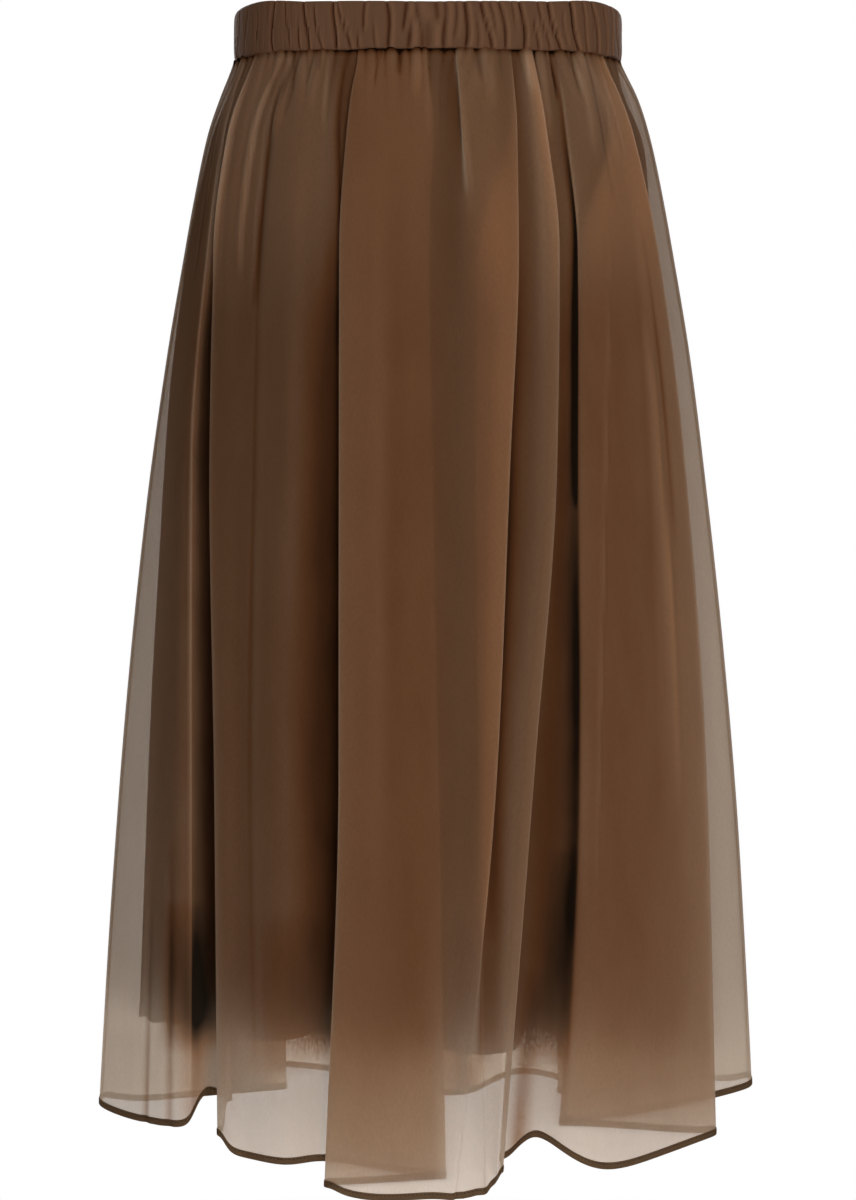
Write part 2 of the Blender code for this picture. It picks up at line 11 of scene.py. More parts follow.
import bpy
import numpy as np
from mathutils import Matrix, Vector

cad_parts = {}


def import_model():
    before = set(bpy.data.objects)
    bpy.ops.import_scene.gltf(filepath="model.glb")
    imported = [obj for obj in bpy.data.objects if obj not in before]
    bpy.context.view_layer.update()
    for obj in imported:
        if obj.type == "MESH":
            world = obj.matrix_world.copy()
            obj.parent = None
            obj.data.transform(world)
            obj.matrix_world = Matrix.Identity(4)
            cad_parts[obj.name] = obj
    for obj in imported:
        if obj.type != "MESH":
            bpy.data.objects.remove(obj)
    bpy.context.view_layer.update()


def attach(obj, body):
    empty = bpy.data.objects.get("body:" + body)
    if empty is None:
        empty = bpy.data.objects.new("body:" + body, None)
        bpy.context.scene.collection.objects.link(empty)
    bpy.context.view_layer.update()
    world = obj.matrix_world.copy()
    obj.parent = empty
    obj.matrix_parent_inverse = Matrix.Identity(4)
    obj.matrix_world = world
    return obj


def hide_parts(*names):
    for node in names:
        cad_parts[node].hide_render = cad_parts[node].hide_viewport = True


MM = 0.001

# ---- sizes (metres) ---------------------------------------------------------------------
BAND_HEIGHT = 0.031
BAND_HALF_WIDTH = 0.1322
BAND_HALF_DEPTH = 0.0978
BAND_THICK = 0.0066
SEAM_Z = -BAND_HEIGHT / 2
OVER_LENGTH = 0.739
LINING_LENGTH = 0.678
LINING_SIDE_LIFTS = {"left": 24, "right": 0}
FOLD_ROLL = 0.009
ROLL_SHARE = 0.45
TURN_LEAN = 0.0025
TURN_ROUND = 0.1
SIDE_LIMIT = 0.995
GATHERED_DEPTH = 2.0      # mm: a layer that lies deeper than this is gathered less
INNER_GATHER = 0.6
TURN_GATHER = 0.5
FLUTE_PAINTED_SHADE = -0.04        # painted shade of the lining for each millimetre that a flute lies inside, painted highlight where it stands out
ROW_CROWD = 0.6           # share of the rows that crowd towards the seam
ROW_POWER = 1.5
SEAM_DEPTH = 0.3          # share of a fold's depth that is left where it is sewn in
SEAM_STRAIGHT = 0.008
SEAM_STRAIGHT_GROWS = 0.010
SQUARE_POWER = 2.7        # the waist is squarer than an oval
SQUARE_FADE = 0.09        # and this far below it the skirt is oval
TUCK_UNDER = 0.0012       # how far the panels run up under the waistband's edge


def table(kind, *rows):
    """Rows of a table as records with named columns."""
    return tuple(kind(*row) for row in rows)


# ---- outlines (millimetres) -------------------------------------------------------------
Outline = namedtuple("Outline", "drop half_width front_depth back_depth shift")
OVER_OUTLINE = table(Outline,
    # drop half_width front   back  shift
    (0,        129.8,  94.8,  94.8,   0.0),
    (23,       142.0, 105.0, 105.5,   1.0),
    (50,       151.3, 113.5, 115.0,   0.5),
    (92,       160.5, 121.5, 125.0,   0.5),
    (130,      167.5, 128.0, 132.0,   0.5),
    (200,      179.5, 137.0, 143.0,   0.3),
    (300,      193.0, 146.0, 153.0,  -0.5),
    (400,      204.0, 155.0, 162.0,  -0.5),
    (500,      213.0, 162.0, 169.0,  -0.5),
    (600,      220.0, 169.0, 176.0,  -1.0),
    (739,      228.0, 177.5, 184.0,  -1.5),
)
LINING_OUTLINE = table(Outline,
    # drop half_width front   back  shift
    (0,        127.9,  92.9,  92.9,   0.0),
    (20,       134.5,  95.0,  95.5,  -1.5),
    (54,       147.8, 100.0, 102.0,  -1.0),
    (96,       155.0, 108.0, 111.0,  -3.5),
    (130,      160.5, 112.5, 116.5,  -4.5),
    (231,      170.8, 121.0, 127.5,  -7.0),
    (331,      177.0, 126.0, 133.0,  -7.5),
    (446,      182.6, 131.0, 138.0,  -8.5),
    (678,      188.6, 139.5, 146.0, -12.0),
)

# ---- fold tables (millimetres) ----------------------------------------------------------
# A row has x at six levels from the seam to the hem, how far the layer lies inside the
# outline at the top, hip and hem, how far its hem is lifted, and its painted shading at the
# top and below: painted shade in valleys below 0, painted highlight on ridges above 0. A fold
# with turn 1 is where the cloth doubles back to the next layer.
LEVELS = (0.0, 0.050, 0.130, 0.270, 0.470, 0.739)
DEPTH_LEVELS = (0.0, 0.032, 0.130, 0.739)
Fold = namedtuple("Fold", "name turn seam yoke hip thigh knee hem in_top in_hip in_hem lift tone_top tone")
FRONT_FOLDS = table(Fold,
    # name           turn  seam    yoke   hip thigh  knee   hem   top   hip  hem  lift    top   tone
    ("left_side",       0, -130,   -149, -163, -182, -201, -204,  0.5,    1,   6,   26, -0.15,  0.45),
    ("left_lobe",       0, -124,   -141, -153, -167, -170, -174,  0.0,    0,  -2,   31,   0.0,  -0.1),
    ("left_lobe_end",   0, -121,   -137, -147, -157, -158, -158,  1.0,    1,   4,   31,   0.0,  -0.4),
    ("left_lobe_back",  0, -120,   -136, -145, -154, -154, -154,  2.0,    3,  11,   42,  -0.1,  -0.8),
    ("left_valley",     0, -118,   -134, -143, -152, -151, -146,    2,    4,  23,   54,   0.1, -0.82),
    ("left_inner",      1, -112,   -128, -136, -133, -131, -127,  3.5,    6,  23,   50,   0.2, -0.82),
    ("left_edge",       1, -114,   -131, -141, -143, -139, -136,  2.0,    3,  13,   30,   0.4, -0.05),
    ("left_roll",       0, -104,   -122, -131, -133, -131, -129, -0.5,   -1,   0,   19,  0.95, -0.15),
    ("left_crease",     0,  -92,   -110, -114, -117, -121, -117,  1.5,    3,   4,   17,   0.2,  -0.1),
    ("left_panel",      0,  -80,    -88,  -94,  -97, -101,  -94, -1.0,   -2,  -1,   15,   0.6,  -0.1),
    ("valley_2_rim",    0,  -66,    -69,  -72,  -82,  -88,  -80,  0.5,    2,   8,   16,   0.3, -0.35),
    ("valley_2",        0,  -58,    -62,  -62,  -65,  -67,  -65,  5.0,    9,  24,   16,  -0.3,  -0.9),
    ("centre_far",      0,  -48,    -55,  -38,  -28,  -26,  -26,  5.5,    8,  17,   11,  -0.3, -0.85),
    ("centre_inner",    1,   -2,      4,    1,    3,    7,   12,  6.0,    8,  16,    8,  -0.1,   0.0),
    ("centre_edge",     1,  -45,    -52,  -57,  -57,  -57,  -66,  3.0,    4,   8,    3, -0.05,   0.1),
    ("centre_roll",     0,  -37,    -43,  -48,  -48,  -47,  -54, -1.0, -1.5,  -1,   -2, -0.02,  0.05),
    ("centre_panel",    0,  -20,    -24,  -27,  -28,  -28,  -34,  0.0,  0.5,   1,   -5,  0.03, -0.05),
    ("short_rim",       0,    1,      5,    4,    0,   -2,  -16, -0.5,    0,   0,   -4,  0.05, -0.25),
    ("short_valley",    0,   12,     15,   17,   14,   10,   -2,  9.0,    2,   1,   -3,  -0.4,  -0.1),
    ("short_end",       0,   21,     23,   28,   26,   22,    8, -1.5,    0,   1,   -3,   0.6,   0.1),
    ("narrow_panel",    0,   36,     40,   45,   41,   32,   16, -0.5,   -1,   0,   -4,   0.8,   0.2),
    ("narrow_edge",     1,   54,     59,   60,   54,   45,   18,  0.0,    0,   0,   -3,   0.2,   0.3),
    ("narrow_inner",    1,   56,     54,   33,   31,   33,   37,  4.0,    5, 1.0,   -1,  -0.3, -0.35),
    ("valley_4",        0,   57,     61,   63, 57.5,   47,   40,  6.0,    9,   4,    3,  -0.2,  -0.3),
    ("rise_5",          0,   61,     67, 71.5,   68,   54, 42.5,  2.5,    5, 2.5,    5,   0.1,  -0.1),
    ("ridge_5",         0,   65,     71,   78,   77,   61,   44,  0.0,   -1,   0,    8,  0.55,  0.05),
    ("ridge_5_edge",    1,   68,     78,   87,   85,   70,   48,  0.0,    0,   5,   12,   0.8,  0.15),
    ("ridge_5_inner",   1,   65,     72,   80,   79,   63, 46.5,  4.0,    7,  14,   16,  0.25, -0.25),
    ("valley_5",        0,   79,     85,   92,   91,   84,   66,  4.0,   10,  27,   35,   0.2, -0.55),
    ("right_rim",       0,   84,     90, 97.5, 96.5,   99,   85,  1.0,    1,   6,   23,   0.1,  -0.2),
    ("right_ridge",     0,   97,    105,  112,  110,  109,  113, -1.0,   -2,  -2,    7,   0.6,  -0.2),
    ("right_panel",     0,  106,    121,  134,  140,  142,  148,  0.5,    1,   3, 12.5,  0.25,  -0.2),
    ("right_edge",      1,  116,    138,  156,  174,  188,  195,  0.0,    0,   1,   19,   0.5,  0.05),
    ("right_middle",    0,  113,    132,  131,  138,  140,  138,  1.6,  2.4,  12,   31,   0.0, -0.15),
    ("right_inner",     1,  108,    120,  101,  100,   99,   84,  2.6,  3.6,  13,   38,   0.0,   0.0),
    ("right_far",       0,  121,    141,  141,  146,  147,  146,  4.4,  5.6,  20,   38,   0.0,   0.0),
    ("right_side",      0,  129,  148.5,  163,  184,  202,  212,  1.5,  1.5,   8,   38,   0.3,  0.15),
)
BACK_FOLDS = table(Fold,
    # name           turn  seam    yoke   hip thigh  knee   hem   top   hip  hem  lift    top   tone
    ("back_right_side", 0,  128,    148,  162,  181,  199,  213,  0.5,    2,   8,   28,   0.0,   0.0),
    ("back_right_lobe", 0,  120,    139,  153,  170,  184,  193, -0.5,   -1,  -3,   22,   0.0,   0.0),
    ("back_right_dip",  0,  111,    128,  141,  155,  164,  170,  1.5,    4,  12,   20,  -0.1,  -0.4),
    ("back_ridge",      0,  103,    118,  129,  139,  145,  150, -0.5,   -1,  -3,   14,   0.1,   0.1),
    ("fold_1_far",      0,   95,    107,  115,  121,  124,  128,  6.0,  6.5,  13,    0,  -0.2,  -0.5),
    ("fold_1_left",     1,   86,   91.5,   92,   93,   94,   95,  6.0,  6.5,  13,   -2,  -0.1,  -0.2),
    ("fold_1_right",    1,   77,   93.5,  110,  116,  121,  125,  3.0,  3.2, 6.5,   -1,   0.1,   0.1),
    ("back_panel_1",    0,   66,     72,   77,   80,   82,   86, -1.0,   -1,  -2,    9,   0.1,   0.0),
    ("back_dip_1",      0,   59,     60,   60,   60,   60,   60,  1.0,    3,   8,   11,  -0.2,  -0.5),
    ("fold_2_far",      0,   52,     49,   42,   39,   37,   35,  6.0,    7,  13,   -6,  -0.2,  -0.6),
    ("fold_2_left",     1,   45,     41,   24,   17,   12,    9,  6.0,    7,  13,   -7,  -0.1,  -0.2),
    ("fold_2_right",    1,   36,     42,   41,   39,   37,   35,  3.0,  3.5, 6.5,   -6,   0.1,   0.1),
    ("back_panel_2",    0,   22,     24,   22,   20,   18,   16, -1.0,   -1,  -2,    7,   0.1,   0.1),
    ("back_dip_2",      0,    8,      6,    4,    3,    2,    0,  1.0,    3,   6,    8,  -0.2,  -0.4),
    ("fold_3_far",      0,   -5,    -12,  -16,  -14,  -12,  -12,  6.0,    7,  13,   -7,  -0.2,  -0.6),
    ("fold_3_left",     1,  -18,    -26,  -46,  -52,  -55,  -57,  6.0,    7,  13,   -8,  -0.1,  -0.2),
    ("fold_3_right",    1,  -27,    -26,  -17,  -12,   -9,   -8,  3.0,  3.5, 6.5,   -7,   0.1,   0.1),
    ("back_panel_3",    0,  -40,    -46,  -50,  -54,  -56,  -60, -1.0,   -1,  -2,    8,   0.1,   0.0),
    ("back_dip_3",      0,  -56,    -66,  -78,  -86,  -90,  -92,  2.0,    4,   9,   16,  -0.3,  -0.6),
    ("back_panel_4",    0,  -72,    -88, -103, -114, -121, -126, -1.0,   -1,  -3,   19,   0.1,   0.1),
    ("fold_4_left",     1,  -90, -113.5, -131, -147, -158, -172,  0.0,    0,   1,   10,   0.1,   0.1),
    ("fold_4_right",    1,  -99, -111.5, -117, -112, -108, -106,  2.2,  2.6,   7,    2,  -0.1,  -0.2),
    ("fold_4_inner",    0, -108,   -124, -134, -138, -140, -142,  4.0,  4.6,  14,    3,  -0.3,  -0.6),
    ("fold_4_end",      0, -115,   -135, -147, -160, -170, -176,  2.2,  3.2,  10,    5,  -0.2,   0.0),
    ("back_left_side",  0, -125,   -147, -161, -181, -200, -212,  0.0,  0.5,   0,    8,   0.0,   0.5),
)
OVER_SIDE_LIFTS = {"left": 24, "right": 38}

Flute = namedtuple("Flute", "hem_x hem_in lift")
LINING_FRONT_FLUTES = table(Flute,
    # hem_x hem_in lift
    (-196,    0.0,   29),
    (-185,   -2.0,   30),
    (-170,   -3.0,   31),
    (-152,    0.0,   35),
    (-138,    4.0,   44),
    (-130,    4.0,   47),
    (-127,    0.0,   36),
    (-122,   -3.0,   30),
    (-112,   -4.0,   28),
    (-96,    -4.0,   29),
    (-80,     1.0,   32),
    (-66,     6.0,   39),
    (-50,     6.0,   40),
    (-30,     2.0,   38),
    (-10,    -1.0,   32),
    (8,      -3.0,   26),
    (32,     -5.0,   21),
    (52,     -3.0,   23),
    (60,     -1.0,   24),
    (63,      6.0,   38),
    (72,      8.0,   36),
    (86,      4.0,   30),
    (100,     4.0,   34),
    (112,     4.0,   33),
    (120,    -2.0,   15),
    (138,    -5.0,   11),
    (154,    -1.0,    8),
    (166,     0.0,    2),
    (175,     0.0,    1),
)
LINING_BACK_FLUTES = table(Flute,
    # hem_x hem_in lift
    (175,     1.0,    9),
    (166,     1.0,    8),
    (156,    -1.0,    6),
    (144,    -3.0,    4),
    (132,     1.0,    5),
    (118,     6.0,    6),
    (92,     -3.0,    2),
    (64,      6.0,    5),
    (36,     -3.0,    0),
    (6,       7.0,    4),
    (-26,    -3.0,    1),
    (-54,     6.0,    5),
    (-84,    -3.0,    2),
    (-112,    6.0,    6),
    (-140,   -2.0,    4),
    (-156,    1.0,    6),
    (-168,    3.0,    8),
    (-179,    2.0,    9),
    (-188,    0.0,   10),
    (-196,    0.0,   10),
)

# ---- creases (millimetres) --------------------------------------------------------------
# A soft ridge (rise > 0) or trough (rise < 0) that starts at drop top and ends at drop low,
# and runs beside a named fold, off_top and off_low to its right along the cloth. Its crisp
# side, -1 left or 1 right, is steep. Its shading column is painted shade below 0 and painted
# highlight above 0; a row with rise 0 is only painted shade or highlight.
Crease = namedtuple("Crease", "fold top low off_top off_low width rise tone crisp")
FRONT_CREASES = table(Crease,
    # fold            top  low  off  off width  rise   tone crisp
    ("left_lobe",      -6, 150,  -3,  -3,  2.0, -1.4,  -0.5,  0),
    ("left_lobe_end",  60, 700,   0,   4,  2.2,  1.4,  0.35,  1),
    ("left_lobe",     540, 900, -20, -26,  4.0, -1.6, -0.45,  0),
    ("left_lobe",     560, 900,  28,  28, 10.0,  0.0, -0.35,  0),
    ("left_lobe",     520, 900,   5,   7,  4.0, -1.6, -0.35,  0),
    ("left_edge",      -8, 150,   4,   6,  3.0,  1.8,   0.3,  0),
    ("left_roll",      -8, 150,  10,   6,  3.6,  2.4,   0.4,  1),
    ("left_crease",   -10, 170,   6,  -1,  5.0, -2.8, -0.95, -1),
    ("left_crease",    -8,  60,  14,  10,  3.0,  1.8,   0.2,  0),
    ("left_crease",    90, 660,   2,   3,  2.4, -0.9,  -0.3, -1),
    ("left_crease",   120, 700,   8,  10,  2.4,  0.7,   0.1,  0),
    ("left_panel",     -8,  44,  -3,  -9,  3.2, -2.4,  -0.8, -1),
    ("left_panel",    -10,  60,  -9, -16,  3.4,  2.0,   0.3,  1),
    ("left_panel",     30, 400,   8,   6,  6.0,  0.9,   0.1,  0),
    ("left_panel",     -8,  24,   6,   5,  2.0, -2.0,  -0.7,  1),
    ("left_panel",     -8,  40,  10,  10,  2.6,  1.6,   0.2,  0),
    ("valley_2_rim",   -6,  14,  -3,  -3,  1.6, -1.8,  -0.6,  1),
    ("valley_2_rim",   -8,  50,   2,   2,  2.4,  1.4,   0.2,  1),
    ("valley_2",       -4, 200,   4,   3,  3.0, -1.5,  -0.4,  1),
    ("centre_edge",    -8,  40,   6,   4,  2.6,  2.0,   0.3,  0),
    ("centre_roll",    -8,  26,   5,   3,  1.8, -1.8,  -0.4,  1),
    ("centre_roll",    40, 600,  12,  10,  5.0,  0.8,   0.1,  0),
    ("centre_panel",   -8,  18,   2,   1,  2.6, -2.2,  -0.5,  0),
    ("centre_panel",   -6,  11,   9,   9,  1.6, -1.6,  -0.3,  1),
    ("centre_panel",   -8,  34,  14,  13,  3.0,  1.8,   0.3,  0),
    ("centre_panel",   40, 500,   6,   4,  7.0, -0.8,  -0.1,  0),
    ("short_rim",      -8,  60,  -1,  -1,  2.4,  1.8,   0.2,  1),
    ("short_valley",   -8,  98,   5,   7,  4.5, -3.0, -0.45,  1),
    ("short_end",      -8, 110,  -3,  -1,  2.6,  2.4,   0.3, -1),
    ("short_end",      60, 560,  11,   7,  5.0, -0.8,  -0.2,  0),
    ("narrow_panel",   -8,  22,  -3,  -2,  2.6, -2.4,  -0.9,  0),
    ("narrow_panel",   -8,  40,   4,   3,  3.0,  1.8,   0.3,  0),
    ("narrow_panel",   40, 480,  -4,  -4,  4.0,  0.8,   0.1,  0),
    ("ridge_5",        -8,  30,   0,   1,  2.0,  1.6,   0.2,  0),
    ("ridge_5_inner",  -8,  26,   5,   7,  2.6, -2.6, -0.95,  1),
    ("valley_5",      -10,  34,   1,   2,  2.4, -2.4, -0.85, -1),
    ("valley_5",       -8,  60,  -6,  -4,  2.2,  1.6,   0.2,  0),
    ("right_rim",       6, 300,  -2,  -2,  4.2, -2.0,  -1.3,  1),
    ("right_rim",     150, 700,  -1,  -1,  8.0, -1.0,  -0.5,  1),
    ("right_rim",     230, 700,  -3,  -3, 20.0,  0.0, -0.25,  1),
    ("valley_4",      110, 580,  -3,  -3,  5.0,  0.0,  -0.6,  0),
    ("valley_5",      600, 960,  -9, -13,  7.0, -1.6, -0.55,  0),
    ("left_lobe",     560, 660,  10,  10, 14.0,  0.0, -0.45,  0),
    ("left_panel",    560, 668,   0,   0, 26.0,  0.0, -0.35,  0),
    ("short_end",     560, 668,  10,  10, 14.0,  0.0, -0.25,  0),
    ("valley_5",      520, 662,   6,   6, 12.0,  0.0,  -0.3,  0),
    ("right_ridge",   -10,  28,  -2,  -1,  2.4, -2.6, -0.85,  1),
    ("right_ridge",    -8,  70,   3,   5,  3.4,  2.2,   0.3,  0),
    ("right_ridge",   110, 560,   9,  -4,  1.6,  1.4,   0.3,  1),
    ("right_edge",    170, 500, -12, -10,  4.5,  0.8,   0.7,  1),
    ("right_edge",    110, 330,  -2,  -2,  2.0, -0.6,  -0.5,  0),
    ("right_ridge",    -6, 100,   9,  15,  2.4, -1.8,  -0.4, -1),
    ("right_panel",    -8,  70,   0,   4,  3.0,  1.8,   0.2,  0),
    ("right_panel",    -6,  70,   5,   9,  2.0, -1.6,  -0.4, -1),
    ("right_panel",    60, 500,   8,  12,  4.0, -0.7,  -0.1,  0),
)
BACK_CREASES = table(Crease,
    # fold            top  low  off  off width  rise   tone crisp
    ("back_ridge",     -6,  60,   3,   5,  2.4, -1.8,  -0.6,  1),
    ("back_panel_1",   -6, 140,   3,   6,  3.0, -2.0,  -0.6, -1),
    ("back_panel_1",   60, 520,  -6, -10,  5.0,  0.9,   0.1,  0),
    ("back_panel_2",   -6,  40,   6,   9,  2.4, -2.2,  -0.7,  1),
    ("back_panel_2",   -4, 320,  -6, -12,  3.0,  1.6,   0.2,  0),
    ("back_panel_3",   -6, 120,   5,   8,  3.0, -2.0,  -0.6, -1),
    ("back_panel_3",   -6,  24,  -5,  -6,  2.0, -2.2,  -0.8,  0),
    ("back_panel_4",   10, 520,   8,  18,  4.0,  1.2,   0.1,  1),
    ("back_panel_4",   -6,  80,  -4, -10,  2.6, -2.0,  -0.6,  0),
    ("back_dip_3",     -6, 200,   0,  -2,  2.6, -1.6,  -0.5,  1),
    ("back_dip_3",    600, 900,   4,   4, 17.0,  0.0,   1.4,  0),
    ("fold_4_inner",  560, 900,   0,   0, 36.0,  0.0,  -0.9,  0),
    ("fold_3_far",    560, 900,  22,  22, 22.0,  0.0,  -0.5,  0),
    ("fold_2_far",    560, 900,  11,  11, 12.0,  0.0,  -0.8,  0),
)
CRISP = 4.0               # how many times steeper the crisp side is
CREASE_ENDS = 0.6         # below 1, a crease reaches its full rise sooner
# How much of a fold's painted shade and highlight is left at each level: the lining behind it ends above
# the hem.
PAINTED_SHADING_LEVELS = (0.0, 0.080, 0.190, 0.635, 0.668, 0.739)
PAINTED_SHADING_LEFT_LOW = 0.1

# ---- gathers and ruching (millimetres) --------------------------------------------------
Gather = namedtuple("Gather", "width puff fade")
GATHERS = table(Gather,
    (7.0, 1.8, 15), (5.5, 1.2, 9), (9.5, 2.2, 24), (6.0, 1.4, 11),
    (8.5, 2.0, 18), (5.0, 1.1, 8), (10.5, 2.4, 28), (7.0, 1.6, 13),
)
SWELL_POWER = 0.7
FADE_POWER = 1.2
# painted shade in the tucks between gathers and painted highlight on their puffs
GATHER_PAINTED_SHADING = 0.85
GATHER_LEVEL = 0.75       # the swell at which the cloth gets neither painted shade nor painted highlight
GATHER_LEAN = 0.24
LEAN_WAVES = ((0.021, 1.0), (0.009, 0.4))     # metres along the seam, and share, of each wave
LEAN_DROP = 0.035         # the gathers lean down to here and then run straight
SEAM_PAINTED_SHADOW = -1.3          # painted shadow where the cloth goes in under the waistband
SEAM_SHADE = 0.0019
LINING_PUFF = 0.35

# A crease of the waistband: x on its front, how far its foot leans to the right, and the
# shares of the height where it starts and ends.
Ruche = namedtuple("Ruche", "x lean low high depth")
RUCHES = table(Ruche,
    (-131.0,  1, 0.0, 1.0, 1.4), (-127.5,  0, 0.0, 1.0, 1.0), (-122.0, -1, 0.1, 0.9, 1.2),
    (-114.5,  0, 0.2, 0.8, 0.9), (-103.5,  0, 0.0, 1.0, 1.9), (-93.5,   1, 0.1, 1.0, 1.0),
    (-85.0,  -1, 0.0, 0.5, 1.3), (-81.0,   2, 0.0, 1.0, 1.8), (-73.5,   4, 0.0, 0.9, 1.2),
    (-62.0,   0, 0.0, 1.0, 1.8), (-56.0,   8, 0.0, 1.0, 1.5), (-46.0,   1, 0.0, 0.3, 1.1),
    (-42.0,   0, 0.4, 1.0, 1.3), (-35.5,  -1, 0.0, 0.5, 1.0), (-26.5,   2, 0.0, 1.0, 1.7),
    (-15.5,   0, 0.4, 1.0, 1.5), (-13.0,   0, 0.0, 0.6, 1.5), (-6.0,    3, 0.0, 1.0, 1.1),
    (1.5,    -3, 0.0, 0.6, 1.4), (5.0,     0, 0.5, 1.0, 1.2), (10.5,    1, 0.0, 1.0, 1.6),
    (17.5,   -1, 0.2, 1.0, 1.0), (25.0,    0, 0.0, 1.0, 1.8), (31.5,    2, 0.0, 0.7, 1.0),
    (38.5,    6, 0.0, 1.0, 1.7), (43.0,    5, 0.3, 1.0, 1.1), (49.5,    5, 0.0, 1.0, 1.6),
    (56.0,    1, 0.5, 1.0, 1.0), (62.5,    3, 0.0, 1.0, 1.8), (70.0,    5, 0.0, 0.6, 1.4),
    (76.5,    7, 0.0, 1.0, 1.3), (83.5,    8, 0.0, 1.0, 2.0), (90.5,    5, 0.1, 0.8, 1.0),
    (97.5,    8, 0.0, 1.0, 2.4), (104.5,   6, 0.0, 1.0, 1.2), (112.0,   6, 0.0, 1.0, 1.7),
    (118.5,   4, 0.0, 0.9, 1.3), (123.5,   3, 0.0, 1.0, 1.5), (127.5,   1, 0.0, 1.0, 1.2),
    (131.0,   0, 0.0, 1.0, 1.4),
)
RUCHE_WIDTH = 0.45        # for each millimetre of depth
# painted shade in the waistband's creases and painted highlight on the lips beside them
RUCHE_PAINTED_SHADE = 1.05
RUCHE_LIP_PAINTED_HIGHLIGHT = 0.75
RUCHE_POWER = 1.3
RUCHE_SINK = 0.75         # share of a crease's depth that is its sharp cut
RUCHE_END = 0.12          # share of the height over which a crease begins or ends
RUCHE_END_DEPTH = 0.4
LIP_PLACE = 2.2           # a low lip stands beside each crease
LIP_WIDTH = 1.2
LIP_RISE = 0.15
PILLOW = 0.45             # share of the depth that is the soft hollow round the crease
PILLOW_WIDTH = 3.2
TOP_SHARES = (0.0, 0.6, 0.84, 0.95, 1.0)      # of the half width, from the middle
TOP_RISES = (0.0, 1.2, 3.7, 2.4, 0.8)         # how far the upper edge stands up there
EDGE_WAVE = 0.3           # of the lower edge
RUCHE_BEND = 1.0          # how far a crease wanders on its way down
RUCHE_BEND_RATE = 4.5
BAND_SIDE_POWER = 0.35    # the casing's section: flat sides
BAND_EDGE_POWER = 0.6     # and round edges
INNER_SINK = 0.35         # share of a crease's depth that shows inside the waistband
BACK_RUCHE_SHIFT = 2.5

# ---- density ----------------------------------------------------------------------------
OVER_COLUMNS = 650
OVER_ROWS = 150
LINING_COLUMNS = 260
LINING_ROWS = 120
BAND_COLUMNS = 1500
BAND_RINGS = 30
SEAM_STEP = 0.0045        # columns are shared out by these lengths along the seam and hem
HEM_STEP = 0.030
BEND_STEP = 0.40          # and by this much turning, in radians
MIDDLE_ROW = 0.35

# ---- hems and seams (the profiles in millimetres, the rest in metres) --------------------
HEM_PROFILE = ((4.4, 0.15), (4.2, 0.35), (2.2, 0.45), (0.3, 0.40), (-0.2, 0.0), (0.3, -0.40),
               (2.2, -0.45), (4.2, -0.35), (4.4, -0.15))      # up from the hem, out of the cloth
LINING_HEM_PROFILE = ((9.0, 0.15), (8.6, 0.35), (4.0, 0.40), (0.3, 0.40), (-0.2, 0.0),
                      (0.3, -0.40), (8.6, -0.35), (9.0, -0.15))
STITCH_PITCH = 0.0026
STITCH_LENGTH = 0.0019
STITCH_HALF = 0.00022
STITCH_UP = 0.0032
SEAM_PLY = 0.003          # half the width of a side seam's turnings

# ---- camera -----------------------------------------------------------------------------
CAMERA_BACK = 2.26        # from the skirt's axis
CAMERA_Z = -0.2626
CAMERA_TILT = 3.02        # degrees down
LENS = 98.45              # mm, on a 36 mm sensor
FLOOR_Z = -1.05
SENSOR = 36
ROOM_LIGHT = 0.20         # the studio's light on the cloth, from all round
BACKDROP_LIGHT = 5.2      # and from the lit white backdrop behind it
BACKDROP_CONE = (0.55, 0.95)                  # where it starts and is full, 1 is straight back
BACKDROP_FOOT = (-0.30, -0.08)                # it fades in upwards between these, 0 is level
KEY_PLACE = (0.7, -2.9, 0.5)
KEY_AIM = (0, 0, -0.4)
KEY_SIZE = 1.0
KEY_POWER = 52


def smooth_through(knots, values, x):
    """A smooth curve through the knots, with slopes that never overshoot."""
    knots = np.asarray(knots, float)
    values = np.asarray(values, float)
    x = np.clip(x, knots[0], knots[-1])
    steps = np.diff(knots)
    rises = np.diff(values) / steps
    slopes = np.empty(len(knots))
    slopes[0] = rises[0]
    slopes[-1] = rises[-1]
    for i in range(1, len(knots) - 1):
        before, after = rises[i - 1], rises[i]
        slopes[i] = 0.0 if before * after <= 0 else 2 * before * after / (before + after)
    i = np.clip(np.searchsorted(knots, x, side="right") - 1, 0, len(steps) - 1)
    t = (x - knots[i]) / steps[i]
    a = values[i] * (1 + 2 * t) * (1 - t) ** 2 + values[i + 1] * t * t * (3 - 2 * t)
    b = steps[i] * (slopes[i] * t * (1 - t) ** 2 - slopes[i + 1] * t * t * (1 - t))
    return a + b


def outline_at(table, drop):
    """Half width, front depth, back depth and sideways shift at drops below the seam."""
    drops = [row.drop * MM for row in table]
    fields = ("half_width", "front_depth", "back_depth", "shift")
    return [smooth_through(drops, [getattr(row, f) * MM for row in table], drop) for f in fields]


def on_outline(table, facing, x, inside, drop):
    half_width, front, back, shift = outline_at(table, drop)
    depth = front if facing < 0 else back
    sine = np.clip(np.abs(x - shift) / (half_width - inside), 0, SIDE_LIMIT)
    power = 2 + (SQUARE_POWER - 2) * np.clip(1 - drop / SQUARE_FADE, 0, 1) ** 2
    return facing * (depth - inside) * (1 - sine ** power) ** (1 / power)


def outward_x(table, facing, x, drop):
    half_width, front, back, shift = outline_at(table, drop)
    depth = front if facing < 0 else back
    sine = np.clip((x - shift) / half_width, -SIDE_LIMIT, SIDE_LIMIT)
    return sine * depth / np.hypot(sine * depth, np.sqrt(1 - sine * sine) * half_width)


